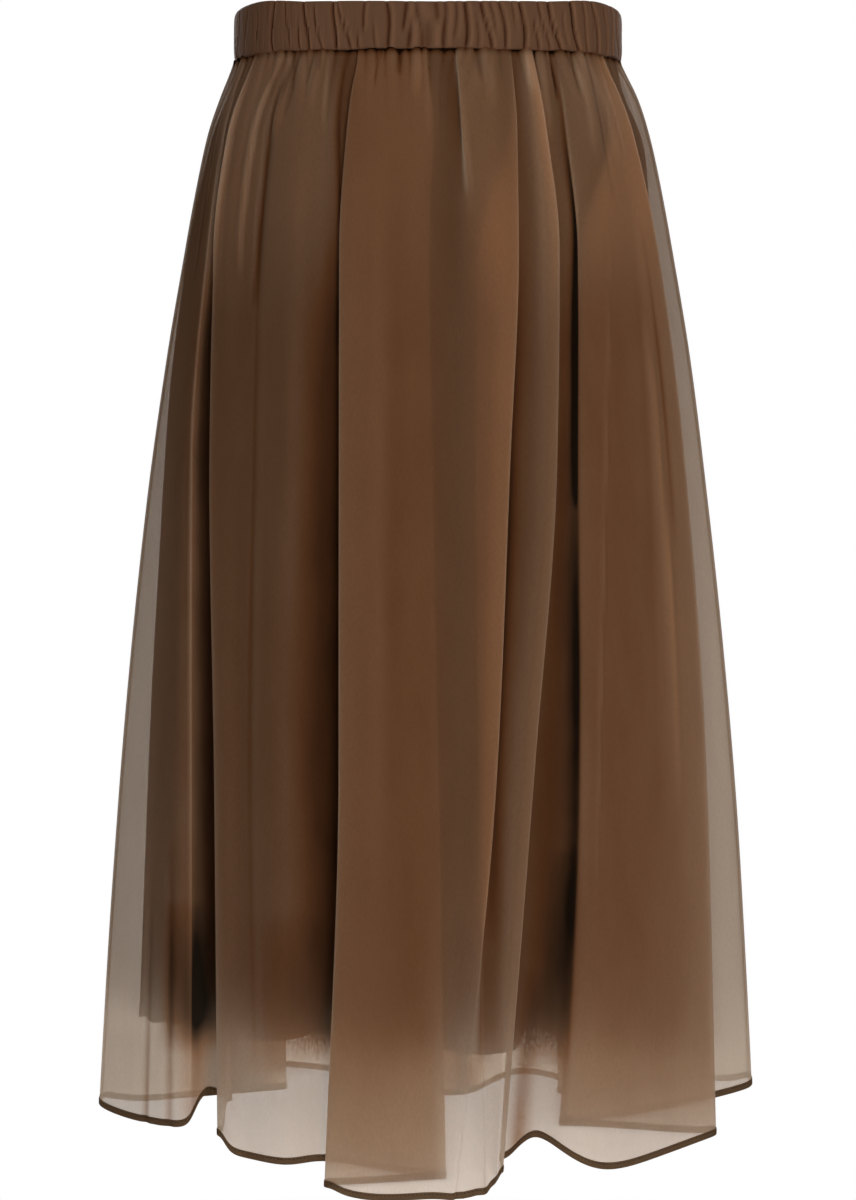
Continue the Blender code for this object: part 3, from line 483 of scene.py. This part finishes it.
def spline_weights(count, params, order=0):
    """Rows of uniform cubic B-spline weights, or of their first derivatives."""
    weights = np.zeros((len(params), count + 2))
    for row, u in enumerate(params):
        i = min(int(u), count - 2)
        t = u - i
        weights[row, i:i + 4] += (
            ((1 - t) ** 3 / 6, (3 * t ** 3 - 6 * t ** 2 + 4) / 6,
             (1 + 3 * t + 3 * t ** 2 - 3 * t ** 3) / 6, t ** 3 / 6),
            (-(1 - t) ** 2 / 2, (3 * t * t - 4 * t) / 2, (1 + 2 * t - 3 * t * t) / 2, t * t / 2),
        )[order]
    inner = weights[:, 1:-1].copy()
    inner[:, 0] += 2 * weights[:, 0]
    inner[:, 1] -= weights[:, 0]
    inner[:, -1] += 2 * weights[:, -1]
    inner[:, -2] -= weights[:, -1]
    return inner


def seam_end(table, lifts, facing, side, length, v):
    """Two control points, over all rows, that start a panel square on its side seam."""
    lift = lifts["left" if side < 0 else "right"] * MM
    drop = length * v - lift * v * v
    half_width, _, _, shift = outline_at(table, drop)
    x = shift + side * half_width
    reach = facing * (SEAM_STRAIGHT + SEAM_STRAIGHT_GROWS * v)
    none, full = np.zeros_like(v), np.ones_like(v)
    return [(x, none, drop, none, none), (x, reach, drop, full, none)]


def fold_depth(fold, drop):
    row = (fold.in_top * SEAM_DEPTH, fold.in_top, fold.in_hip, fold.in_hem)
    return smooth_through(DEPTH_LEVELS, row, drop) * MM


# A fold's painted shade or highlight down its length, mostly gone below the lining's hem.
def fold_painted_shading(fold, drop):
    low = fold.tone * PAINTED_SHADING_LEFT_LOW
    row = (fold.tone_top, fold.tone_top, fold.tone, fold.tone, low, low)
    return smooth_through(PAINTED_SHADING_LEVELS, row, drop)


def panel_controls(table, folds, facing, length, v):
    """Control points of an overskirt panel: rows x controls x (x, y, drop, gathers, painted shading)."""
    drops = [length * v - fold.lift * MM * v * v for fold in folds]
    xs, depths = [], []
    for fold, drop in zip(folds, drops):
        row = (fold.seam, fold.yoke, fold.hip, fold.thigh, fold.knee, fold.hem)
        xs.append(smooth_through(LEVELS, row, drop) * MM)
        depths.append(fold_depth(fold, drop))
    points = []
    places = {}
    last_x = xs[0]
    for k, fold in enumerate(folds):
        x, depth, drop = xs[k], depths[k], drops[k]
        tone = fold_painted_shading(fold, drop)
        places[fold.name] = len(points) + 2
        if not fold.turn:
            gathered = np.full_like(v, 1.0 if fold.in_top < GATHERED_DEPTH else INNER_GATHER)
            points.append((x, on_outline(table, facing, x, depth, drop), drop, gathered, tone))
            last_x = x
            continue
        next_depth = fold_depth(folds[k + 1], drop)
        step = TURN_ROUND * (next_depth - depth)
        lean = outward_x(table, facing, x, drop) * (next_depth - depth)
        next_x = x - np.clip(lean, -TURN_LEAN, TURN_LEAN)
        back = np.clip((last_x - x) * ROLL_SHARE, -FOLD_ROLL, FOLD_ROLL)
        ahead = np.clip((xs[k + 1] - next_x) * ROLL_SHARE, -FOLD_ROLL, FOLD_ROLL)
        last_x = next_x
        for px, layer in ((x + back, depth), (x, depth + step),
                          (next_x, next_depth - step), (next_x + ahead, next_depth)):
            y = on_outline(table, facing, px, layer, drop)
            points.append((px, y, drop, np.full_like(v, TURN_GATHER), tone))
    first = -1 if facing < 0 else 1
    start = seam_end(table, OVER_SIDE_LIFTS, facing, first, length, v)
    end = seam_end(table, OVER_SIDE_LIFTS, facing, -first, length, v)[::-1]
    controls = np.array(start + points + end)
    return controls.transpose(2, 0, 1), places


def lining_controls(table, flutes, facing, length, v):
    """Control points of a lining panel; its folds fade out towards the waist."""
    hem_half = table[-1].half_width * MM
    hem_shift = table[-1].shift * MM
    points = []
    for flute in flutes:
        drop = length * v - flute.lift * MM * v * v
        half_width, _, _, shift = outline_at(table, drop)
        x = shift + (flute.hem_x * MM - hem_shift) * half_width / hem_half
        y = on_outline(table, facing, x, flute.hem_in * MM * v, drop)
        # painted shade where a flute lies inside, painted highlight where it stands out
        points.append((x, y, drop, np.ones_like(v), np.full_like(v, flute.hem_in * FLUTE_PAINTED_SHADE)))
    first = -1 if facing < 0 else 1
    start = seam_end(table, LINING_SIDE_LIFTS, facing, first, length, v)
    end = seam_end(table, LINING_SIDE_LIFTS, facing, -first, length, v)[::-1]
    return np.array(start + points + end).transpose(2, 0, 1), {}


def arc_lengths(points):
    steps = np.linalg.norm(np.diff(points[:, :2], axis=0), axis=1)
    return np.concatenate(([0.0], np.cumsum(steps)))


def turning(points):
    steps = np.diff(points[:, :2], axis=0)
    angles = np.unwrap(np.arctan2(steps[:, 1], steps[:, 0]))
    return np.concatenate(([0.0], np.abs(np.diff(angles)), [0.0]))


def choose_columns(rows, count):
    """Spline parameters of the columns: closer where the cloth bends or is gathered."""
    seam, middle, hem = rows
    fine = np.linspace(0, len(seam) - 1, 4000)
    weights = spline_weights(len(seam), fine)
    seam, middle, hem = weights @ seam, weights @ middle, weights @ hem
    load = arc_lengths(seam) / SEAM_STEP + arc_lengths(hem) / HEM_STEP
    load += np.cumsum(turning(middle) + turning(hem)) / (2 * BEND_STEP)
    return np.interp(np.linspace(0, load[-1], count), load, fine)


def gather_puffs(arcs, drops):
    """How far the gathers push the cloth out, with painted shade in the tucks between them and painted
    highlight on the puffs.
    """
    period = sum(g.width for g in GATHERS) * MM
    lean = GATHER_LEAN * sum(share * np.sin(arcs / wave) for wave, share in LEAN_WAVES)
    place = (arcs + lean * np.clip(drops, 0, LEAN_DROP)) % period
    out = np.zeros_like(drops)
    tone = np.zeros_like(drops)
    start = 0.0
    for gather in GATHERS:
        width = gather.width * MM
        share = np.clip((place - start) / width, 0, 1)
        inside = (share > 0) & (share < 1)
        swell = np.sin(math.pi * share) ** SWELL_POWER
        fade = np.exp(-(np.maximum(drops, 0) / (gather.fade * MM)) ** FADE_POWER)
        out += gather.puff * MM * swell * fade * inside
        tone += (swell - GATHER_LEVEL) * GATHER_PAINTED_SHADING * fade * inside
        start += width
    return out, tone


def crease_marks(creases, places, params, points, drops):
    """How far the creases push the cloth out, and the painted shade and highlight along them, over the
    whole grid.
    """
    steps = np.linalg.norm(np.diff(points, axis=1), axis=2)
    arcs = np.concatenate((np.zeros((len(points), 1)), np.cumsum(steps, axis=1)), axis=1)
    out = np.zeros_like(drops)
    tone = np.zeros_like(drops)
    for crease in creases:
        middle = np.array([np.interp(places[crease.fold], params, row) for row in arcs])
        share = (drops - crease.top * MM) / ((crease.low - crease.top) * MM)
        offset = crease.off_top + (crease.off_low - crease.off_top) * np.clip(share, 0, 1)
        across = (arcs - middle[:, None] - offset * MM) / (crease.width * MM)
        across = np.where(across * crease.crisp > 0, across * CRISP, across)
        swell = np.sin(math.pi * np.clip(share, 0, 1)) ** CREASE_ENDS
        along = np.where((share > 0) & (share < 1), swell, 0)
        mark = along * np.exp(-across ** 2)
        out += crease.rise * MM * mark
        tone += crease.tone * mark
    return out, tone


def row_shares(count):
    """Rows from the seam to the hem, closer at the top where the gathers are."""
    t = np.linspace(0, 1, count)
    return t ** ROW_POWER * ROW_CROWD + t * (1 - ROW_CROWD)


def panel_grid(controls_of, columns, rows, puff, creases=()):
    """Points, outward normals and painted shading (shade and highlight) of one panel, as rows x columns.
    """
    shares = row_shares(rows)
    picks = controls_of(np.array([0.0, MIDDLE_ROW, 1.0]))[0]
    params = choose_columns(picks, columns)
    controls, places = controls_of(shares)
    place, slope = (spline_weights(controls.shape[1], params, k) for k in range(2))
    middle = np.einsum("cp,rpk->rck", place, controls)
    slopes = np.einsum("cp,rpk->rck", slope, controls)
    speed = np.linalg.norm(slopes[:, :, :2], axis=2)
    normals = np.stack((slopes[:, :, 1], -slopes[:, :, 0]), axis=2) / speed[:, :, None]
    drops = middle[:, :, 2]
    out, painted_dark = gather_puffs(arc_lengths(middle[0]), drops)
    gathered = middle[:, :, 3]
    out = out * gathered * puff
    # painted shading of the folds, painted shade in the tucks and a painted shadow under the waistband
    tone = middle[:, :, 4] + painted_dark * gathered + SEAM_PAINTED_SHADOW * np.exp(-(drops / SEAM_SHADE) ** 2)
    if creases:
        rises, painted_crease_shading = crease_marks(creases, places, params, middle[:, :, :2], drops)
        out += rises
        tone += painted_crease_shading
    flat = middle[:, :, :2] + normals * out[:, :, None]
    z = SEAM_Z - drops
    z[0] += TUCK_UNDER
    return np.dstack((flat, z)), normals, tone


def add_piece(name, points, faces, material):
    mesh = bpy.data.meshes.new(name)
    mesh.from_pydata(points, [], faces)
    mesh.materials.append(material)
    mesh.shade_smooth()
    piece = bpy.data.objects.new(name, mesh)
    bpy.context.scene.collection.objects.link(piece)
    return piece


def grid_mesh(name, grid, material, tone=None, closed=False):
    """One sheet of quads through a grid of points."""
    rows, columns = grid.shape[:2]
    index = np.arange(rows * columns).reshape(rows, columns)
    right = np.roll(index, -1, axis=1) if closed else index[:, 1:]
    here = index if closed else index[:, :-1]
    faces = np.stack((here[:-1], here[1:], right[1:], right[:-1]), axis=-1).reshape(-1, 4)
    piece = add_piece(name, grid.reshape(-1, 3).tolist(), faces.tolist(), material)
    # painted shade (below 0) and painted highlight (above 0) at each point
    painted_shading_attribute = piece.data.attributes.new("tone", "FLOAT", "POINT")
    if tone is not None:
        painted_shading_attribute.data.foreach_set("value", tone.reshape(-1).astype(np.float32))
    return piece


def hem_frame(grid, normals):
    """Unit directions at each point of the hem: up along the cloth, and out of it."""
    up = grid[-2] - grid[-1]
    up /= np.linalg.norm(up, axis=1)[:, None]
    return up, np.column_stack((normals[-1], np.zeros(len(up))))


def hem_turn(name, grid, normals, profile, material):
    """The turned hem: a flat sleeve of cloth round the panel's lower edge."""
    up, out = hem_frame(grid, normals)
    rows = [grid[-1] + up * lift * MM + out * reach * MM for lift, reach in profile]
    return grid_mesh(name, np.array(rows), material)


def stitch_row(name, grid, normals, material):
    """Short stitches of thread in a row above the hem's edge."""
    up, out = hem_frame(grid, normals)
    line = grid[-1] + up * STITCH_UP + out * HEM_PROFILE[2][1] * MM
    arcs = np.concatenate(([0.0], np.cumsum(np.linalg.norm(np.diff(line, axis=0), axis=1))))
    points, faces = [], []
    for start in np.arange(STITCH_PITCH, arcs[-1] - STITCH_PITCH, STITCH_PITCH):
        ends = [np.array([np.interp(a, arcs, line[:, k]) for k in range(3)])
                for a in (start, start + STITCH_LENGTH)]
        away = np.array([np.interp(start, arcs, out[:, k]) for k in range(3)]) * STITCH_HALF
        rise = np.array([0.0, 0.0, STITCH_HALF])
        middle = (ends[0] + ends[1]) / 2
        first = len(points)
        for spot, size in ((ends[0], 0.0), (middle, 1.0), (ends[1], 0.0)):
            if size == 0.0:
                points.append(tuple(spot))
            else:
                points += [tuple(spot + away), tuple(spot + rise), tuple(spot - away), tuple(spot - rise)]
        for k in range(4):
            here, there = first + 1 + k, first + 1 + (k + 1) % 4
            faces += [(first, there, here), (first + 5, here, there)]
    return add_piece(name, points, faces, material)


# ---- materials --------------------------------------------------------------------------
THROUGH_SHARE = 0.58      # of a yarn's light that passes through it and not back
PAINTED_SHADE_DARK = 0.05          # painted shade: a fold's colour at -1, and painted highlight at +1, against the plain cloth
PAINTED_HIGHLIGHT_LIGHT = 1.6
PAINTED_SHADE_WARM = (0.62, 0.46, 0.35)                # and painted shade at -0.5, where it is warmer
MOTTLE = 0.12
CLOSED_BY_PAINTED_SHADE = 0.26     # how much less light passes straight through at full painted shade, -1
# noise: scale, detail and stretch
SHEER_MOTTLE = (55, 5, (1, 1, 0.30))
SLUB = (900, 3, (1, 1, 0.4))
OPAQUE_MOTTLE = (70, 6, (1, 1, 0.4))
GRAIN = (1600, 3)
WRINKLES = (330, 3, (1, 1, 0.16))
# linear colours: cloth lit from the front, and what comes through it from behind
BAND_BROWN = (0.130, 0.0635, 0.034)
SHEER_BROWN = (0.280, 0.136, 0.067)
SHEER_THROUGH = (0.98, 0.86, 0.71)
HEM_BROWN = (0.140, 0.086, 0.049)
HEM_THROUGH = (0.38, 0.29, 0.19)
THREAD_BROWN = (0.042, 0.022, 0.014)
LINING_BROWN = (0.016, 0.0075, 0.0043)
SHEER_COVER = (0.78, 0.86)                    # how closed the cloth is, from slub to slub
HEM_COVER = (0.86, 0.94)


def new_material(name):
    material = bpy.data.materials.new(name)
    material.use_nodes = True
    material.node_tree.nodes.clear()
    return material, material.node_tree.nodes, material.node_tree.links


def noise(nodes, links, scale, detail, stretch=(1, 1, 1)):
    where = nodes.new("ShaderNodeTexCoord")
    mapping = nodes.new("ShaderNodeMapping")
    mapping.inputs["Scale"].default_value = stretch
    texture = nodes.new("ShaderNodeTexNoise")
    texture.inputs["Scale"].default_value = scale
    texture.inputs["Detail"].default_value = detail
    links.new(where.outputs["Object"], mapping.inputs["Vector"])
    links.new(mapping.outputs["Vector"], texture.inputs["Vector"])
    return texture.outputs["Fac"]


def ramp(nodes, links, factor, low, high, start=0.3, end=0.7):
    node = nodes.new("ShaderNodeValToRGB")
    node.color_ramp.elements[0].position = start
    node.color_ramp.elements[1].position = end
    node.color_ramp.elements[0].color = low
    node.color_ramp.elements[1].color = high
    links.new(factor, node.inputs["Fac"])
    return node.outputs["Color"]


def maths(nodes, links, operation, *values):
    """A math node whose inputs are sockets of other nodes or plain numbers."""
    node = nodes.new("ShaderNodeMath")
    node.operation = operation
    for place, value in zip(node.inputs, values):
        if isinstance(value, (int, float)):
            place.default_value = value
        else:
            links.new(value, place)
    return node.outputs[0]


def mottle_and_painted_shading(nodes, links, colour, mottle):
    """The cloth's colour with its random mottle, darkened by painted shade and lightened by painted
    highlight from its folds and creases.
    """
    tone = nodes.new("ShaderNodeAttribute")
    tone.attribute_name = "tone"
    half = maths(nodes, links, "MULTIPLY_ADD", tone.outputs["Fac"], 0.5, 0.5 - MOTTLE / 2)
    total = maths(nodes, links, "MULTIPLY_ADD", mottle, MOTTLE, half)
    node = nodes.new("ShaderNodeValToRGB")
    node.color_ramp.elements[0].color = tuple(c * PAINTED_SHADE_DARK for c in colour) + (1,)
    node.color_ramp.elements[1].color = tuple(c * PAINTED_HIGHLIGHT_LIGHT for c in colour) + (1,)
    plain = node.color_ramp.elements.new(0.5)
    plain.color = (*colour, 1)
    painted_shade_stop = node.color_ramp.elements.new(0.25)
    painted_shade_stop.color = tuple(c * share for c, share in zip(colour, PAINTED_SHADE_WARM)) + (1,)
    links.new(total, node.inputs["Fac"])
    return node.outputs["Color"]


def sheer_material(name, front, through, cover_low, cover_high):
    """Sheer cloth: part open, part matte yarn that also lets light through from behind."""
    material, nodes, links = new_material(name)
    output = nodes.new("ShaderNodeOutputMaterial")
    yarn = nodes.new("ShaderNodeBsdfPrincipled")
    yarn.inputs["Roughness"].default_value = 0.7
    yarn.inputs["Specular IOR Level"].default_value = 0.0
    glow = nodes.new("ShaderNodeBsdfTranslucent")
    gap = nodes.new("ShaderNodeBsdfTransparent")
    body = nodes.new("ShaderNodeMixShader")
    body.inputs["Fac"].default_value = THROUGH_SHARE
    cloth = nodes.new("ShaderNodeMixShader")
    mottle = noise(nodes, links, *SHEER_MOTTLE)
    links.new(mottle_and_painted_shading(nodes, links, front, mottle), yarn.inputs["Base Color"])
    links.new(mottle_and_painted_shading(nodes, links, through, mottle), glow.inputs["Color"])
    slub = noise(nodes, links, *SLUB)
    cover = ramp(nodes, links, slub, (cover_low,) * 3 + (1,), (cover_high,) * 3 + (1,))
    # painted shade also closes the cloth, so less shows through it
    tone = nodes.new("ShaderNodeAttribute")
    tone.attribute_name = "tone"
    painted_dark = maths(nodes, links, "MINIMUM", tone.outputs["Fac"], 0.0)
    closed = maths(nodes, links, "MULTIPLY_ADD", painted_dark, -CLOSED_BY_PAINTED_SHADE, cover)
    links.new(closed, cloth.inputs["Fac"])
    links.new(yarn.outputs[0], body.inputs[1])
    links.new(glow.outputs[0], body.inputs[2])
    links.new(gap.outputs[0], cloth.inputs[1])
    links.new(body.outputs[0], cloth.inputs[2])
    links.new(cloth.outputs[0], output.inputs["Surface"])
    bump = nodes.new("ShaderNodeBump")
    bump.inputs["Strength"].default_value = 0.15
    bump.inputs["Distance"].default_value = 0.0004
    links.new(slub, bump.inputs["Height"])
    links.new(bump.outputs["Normal"], yarn.inputs["Normal"])
    return material


def opaque_material(name, colour, roughness, wrinkles=0.0):
    material, nodes, links = new_material(name)
    output = nodes.new("ShaderNodeOutputMaterial")
    shader = nodes.new("ShaderNodeBsdfPrincipled")
    shader.inputs["Roughness"].default_value = roughness
    shader.inputs["Specular IOR Level"].default_value = 0.05
    mottle = noise(nodes, links, *OPAQUE_MOTTLE)
    links.new(mottle_and_painted_shading(nodes, links, colour, mottle), shader.inputs["Base Color"])
    grain = noise(nodes, links, *GRAIN)
    bump = nodes.new("ShaderNodeBump")
    bump.inputs["Strength"].default_value = 0.25
    bump.inputs["Distance"].default_value = 0.0003
    links.new(grain, bump.inputs["Height"])
    if wrinkles:
        fine = nodes.new("ShaderNodeBump")
        fine.inputs["Strength"].default_value = wrinkles
        fine.inputs["Distance"].default_value = 0.0012
        links.new(noise(nodes, links, *WRINKLES), fine.inputs["Height"])
        links.new(fine.outputs["Normal"], bump.inputs["Normal"])
    links.new(bump.outputs["Normal"], shader.inputs["Normal"])
    links.new(shader.outputs[0], output.inputs["Surface"])
    return material


# ---- pieces -----------------------------------------------------------------------------
def dress(piece, node=None):
    if node:
        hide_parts(node)
    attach(piece, "root")
    return piece


def make_overskirt(sheer, turned, thread):
    panels = (("sheer_front", FRONT_FOLDS, -1, FRONT_CREASES, "overskirt_front"),
              ("sheer_back", BACK_FOLDS, 1, BACK_CREASES, "overskirt_back"))
    for name, folds, facing, creases, node in panels:
        def controls_of(v, folds=folds, facing=facing):
            return panel_controls(OVER_OUTLINE, folds, facing, OVER_LENGTH, v)
        grid, normals, tone = panel_grid(controls_of, OVER_COLUMNS, OVER_ROWS, 1.0, creases)
        piece = dress(grid_mesh(name, grid, sheer, tone), node)
        hem = dress(hem_turn(name + "_hem", grid, normals, HEM_PROFILE, turned))
        row = dress(stitch_row(name + "_stitches", grid, normals, thread))
        make_side_seam(grid[:, 0], sheer)


def make_side_seam(line, material):
    """The turnings of a side seam: two plies that lie flat inside the skirt."""
    side = "left" if line[-1, 0] < 0 else "right"
    inward = np.array([-math.copysign(1.0, line[-1, 0]), 0.0, 0.0])
    across = ((-SEAM_PLY, 0.0010), (-SEAM_PLY, 0.0016), (0.0, 0.0020), (SEAM_PLY, 0.0016),
              (SEAM_PLY, 0.0010), (0.0, 0.0008), (-SEAM_PLY, 0.0010))
    columns = [line + np.array([0.0, y, 0.0]) + inward * x for y, x in across]
    grid = np.array(columns).transpose(1, 0, 2)
    dress(grid_mesh("side_seam_" + side, grid, material))


def make_lining(material):
    panels = (("lining_cloth_front", LINING_FRONT_FLUTES, -1, "lining_front"),
              ("lining_cloth_back", LINING_BACK_FLUTES, 1, "lining_back"))
    for name, flutes, facing, node in panels:
        def controls_of(v, flutes=flutes, facing=facing):
            return lining_controls(LINING_OUTLINE, flutes, facing, LINING_LENGTH, v)
        grid, normals, tone = panel_grid(controls_of, LINING_COLUMNS, LINING_ROWS, LINING_PUFF)
        piece = dress(grid_mesh(name, grid, material, tone), node)
        hem = hem_turn(name + "_hem", grid, normals, LINING_HEM_PROFILE, material)
        dress(hem)


def ruche_sink(angles, share):
    """How deep the waistband's creases are at one height, with painted shade in them and painted highlight
    on the lips beside them.
    """
    sink = np.zeros_like(angles)
    tone = np.zeros_like(angles)
    for side in (-1, 1):
        for ruche in RUCHES:
            x = ruche.x if side < 0 else -ruche.x + BACK_RUCHE_SHIFT
            bend = RUCHE_BEND * math.sin(ruche.x + RUCHE_BEND_RATE * share)
            x = np.clip(x + bend + ruche.lean * (0.5 - share), -BAND_HALF_WIDTH / MM, BAND_HALF_WIDTH / MM)
            turn = np.sign(x) * (abs(x) * MM / BAND_HALF_WIDTH) ** (SQUARE_POWER / 2)
            place = side * math.acos(turn)
            gap = (angles - place + math.pi) % (2 * math.pi) - math.pi
            radius = math.hypot(BAND_HALF_WIDTH * math.sin(place), BAND_HALF_DEPTH * math.cos(place))
            signed = -side * gap * radius / MM
            gap = np.abs(signed)
            span = min((share - ruche.low) / RUCHE_END, (ruche.high - share) / RUCHE_END, 1.0)
            depth = ruche.depth * min(max(span + RUCHE_END_DEPTH, 0.0), 1.0)
            mark = np.exp(-(gap / (RUCHE_WIDTH * ruche.depth)) ** RUCHE_POWER)
            lip = np.exp(-((signed - LIP_PLACE) / LIP_WIDTH) ** 2)
            pillow = PILLOW * np.exp(-gap / PILLOW_WIDTH)
            sink = np.maximum(sink, depth * (RUCHE_SINK * mark + pillow - LIP_RISE * lip))
            tone += depth / 2 * (RUCHE_LIP_PAINTED_HIGHLIGHT * lip - RUCHE_PAINTED_SHADE * mark)
    return sink * MM, tone


def squared(share):
    return np.sign(share) * np.abs(share) ** (2 / SQUARE_POWER)


def make_band(material):
    """The ruched casing: a rounded ring whose outside is creased and puffed."""
    angles = 2 * math.pi * np.arange(BAND_COLUMNS) / BAND_COLUMNS
    rings = []
    painted_shading_rings = []
    half = BAND_THICK / 2
    rise = smooth_through(TOP_SHARES, TOP_RISES, np.abs(squared(np.cos(angles)))) * MM
    wave = EDGE_WAVE * MM * (np.sin(9 * angles) + np.sin(23 * angles + 1))
    for t in np.linspace(0, 1, BAND_RINGS, endpoint=False):
        angle = 2 * math.pi * t
        out = half * np.sign(math.cos(angle)) * abs(math.cos(angle)) ** BAND_SIDE_POWER
        up_share = np.sign(math.sin(angle)) * abs(math.sin(angle)) ** BAND_EDGE_POWER
        up = BAND_HEIGHT / 2 * up_share
        outer = max(math.cos(angle), 0) ** 0.5
        sink, tone = ruche_sink(angles, 0.5 + up / BAND_HEIGHT)
        reach = out - half - sink * (INNER_SINK + (1 - INNER_SINK) * outer)
        up = up - np.sign(up) * sink * 0.5 * (1 - outer)
        up += max(up_share, 0) * rise - max(-up_share, 0) * wave
        rings.append(np.stack(((BAND_HALF_WIDTH + reach) * squared(np.cos(angles)),
                               (BAND_HALF_DEPTH + reach) * squared(np.sin(angles)), up), axis=1))
        painted_shading_rings.append(tone)
    rings.append(rings[0])
    painted_shading_rings.append(painted_shading_rings[0])
    grid = np.array(rings)
    dress(grid_mesh("ruched_band", grid, material, np.array(painted_shading_rings), closed=True), "waistband")


# ---- stage, lights and camera -----------------------------------------------------------
def make_stage():
    material, nodes, links = new_material("pale_floor")
    output = nodes.new("ShaderNodeOutputMaterial")
    shader = nodes.new("ShaderNodeBsdfPrincipled")
    shader.inputs["Base Color"].default_value = (0.85, 0.84, 0.83, 1)
    shader.inputs["Roughness"].default_value = 0.8
    links.new(shader.outputs[0], output.inputs["Surface"])
    bpy.ops.mesh.primitive_circle_add(vertices=96, radius=1.0, fill_type="NGON",
                                      location=(0, 0, FLOOR_Z))
    floor = bpy.context.object
    floor.name = "floor"
    floor.data.materials.append(material)


def add_area(name, place, target, size, power):
    light = bpy.data.lights.new(name, "AREA")
    light.shape = "DISK"
    light.size = size
    light.energy = power
    lamp = bpy.data.objects.new(name, light)
    lamp.location = place
    aim = Vector(target) - Vector(place)
    lamp.rotation_euler = aim.to_track_quat("-Z", "Y").to_euler()
    bpy.context.scene.collection.objects.link(lamp)


def make_light():
    world = bpy.data.worlds.new("studio")
    world.use_nodes = True
    nodes, links = world.node_tree.nodes, world.node_tree.links
    seen = nodes["Background"]
    seen.inputs["Color"].default_value = (1, 1, 1, 1)
    cast = nodes.new("ShaderNodeBackground")
    cast.inputs["Color"].default_value = (1, 1, 1, 1)
    towards = nodes.new("ShaderNodeTexCoord")
    axes = nodes.new("ShaderNodeSeparateXYZ")
    walls = nodes.new("ShaderNodeMapRange")
    walls.inputs["From Min"].default_value = BACKDROP_CONE[0]
    walls.inputs["From Max"].default_value = BACKDROP_CONE[1]
    walls.inputs["To Min"].default_value = 0.0
    walls.inputs["To Max"].default_value = BACKDROP_LIGHT
    above = nodes.new("ShaderNodeMapRange")
    above.inputs["From Min"].default_value = BACKDROP_FOOT[0]
    above.inputs["From Max"].default_value = BACKDROP_FOOT[1]
    links.new(towards.outputs["Generated"], axes.inputs[0])
    links.new(axes.outputs["Y"], walls.inputs["Value"])
    links.new(axes.outputs["Z"], above.inputs["Value"])
    strength = maths(nodes, links, "MULTIPLY_ADD", walls.outputs[0], above.outputs[0], ROOM_LIGHT)
    links.new(strength, cast.inputs["Strength"])
    rays = nodes.new("ShaderNodeLightPath")
    mix = nodes.new("ShaderNodeMixShader")
    links.new(rays.outputs["Is Camera Ray"], mix.inputs["Fac"])
    links.new(cast.outputs[0], mix.inputs[1])
    links.new(seen.outputs[0], mix.inputs[2])
    links.new(mix.outputs[0], nodes["World Output"].inputs["Surface"])
    bpy.context.scene.world = world
    add_area("key", KEY_PLACE, KEY_AIM, KEY_SIZE, KEY_POWER)
    bpy.context.scene.view_settings.view_transform = "Standard"


def make_camera():
    data = bpy.data.cameras.new("camera")
    data.lens = LENS
    data.sensor_width = SENSOR
    camera = bpy.data.objects.new("camera", data)
    camera.location = (0, -CAMERA_BACK, CAMERA_Z)
    camera.rotation_euler = (math.radians(90 - CAMERA_TILT), 0, 0)
    bpy.context.scene.collection.objects.link(camera)
    bpy.context.scene.camera = camera


def main():
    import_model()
    band = opaque_material("band_cloth", BAND_BROWN, 0.75, 0.8)
    sheer = sheer_material("sheer_cloth", SHEER_BROWN, SHEER_THROUGH, *SHEER_COVER)
    turned = sheer_material("turned_hem", HEM_BROWN, HEM_THROUGH, *HEM_COVER)
    thread = opaque_material("hem_thread", THREAD_BROWN, 0.7)
    lining = opaque_material("lining_cloth", LINING_BROWN, 0.8)
    make_band(band)
    make_overskirt(sheer, turned, thread)
    make_lining(lining)
    make_stage()
    make_light()
    make_camera()


main()
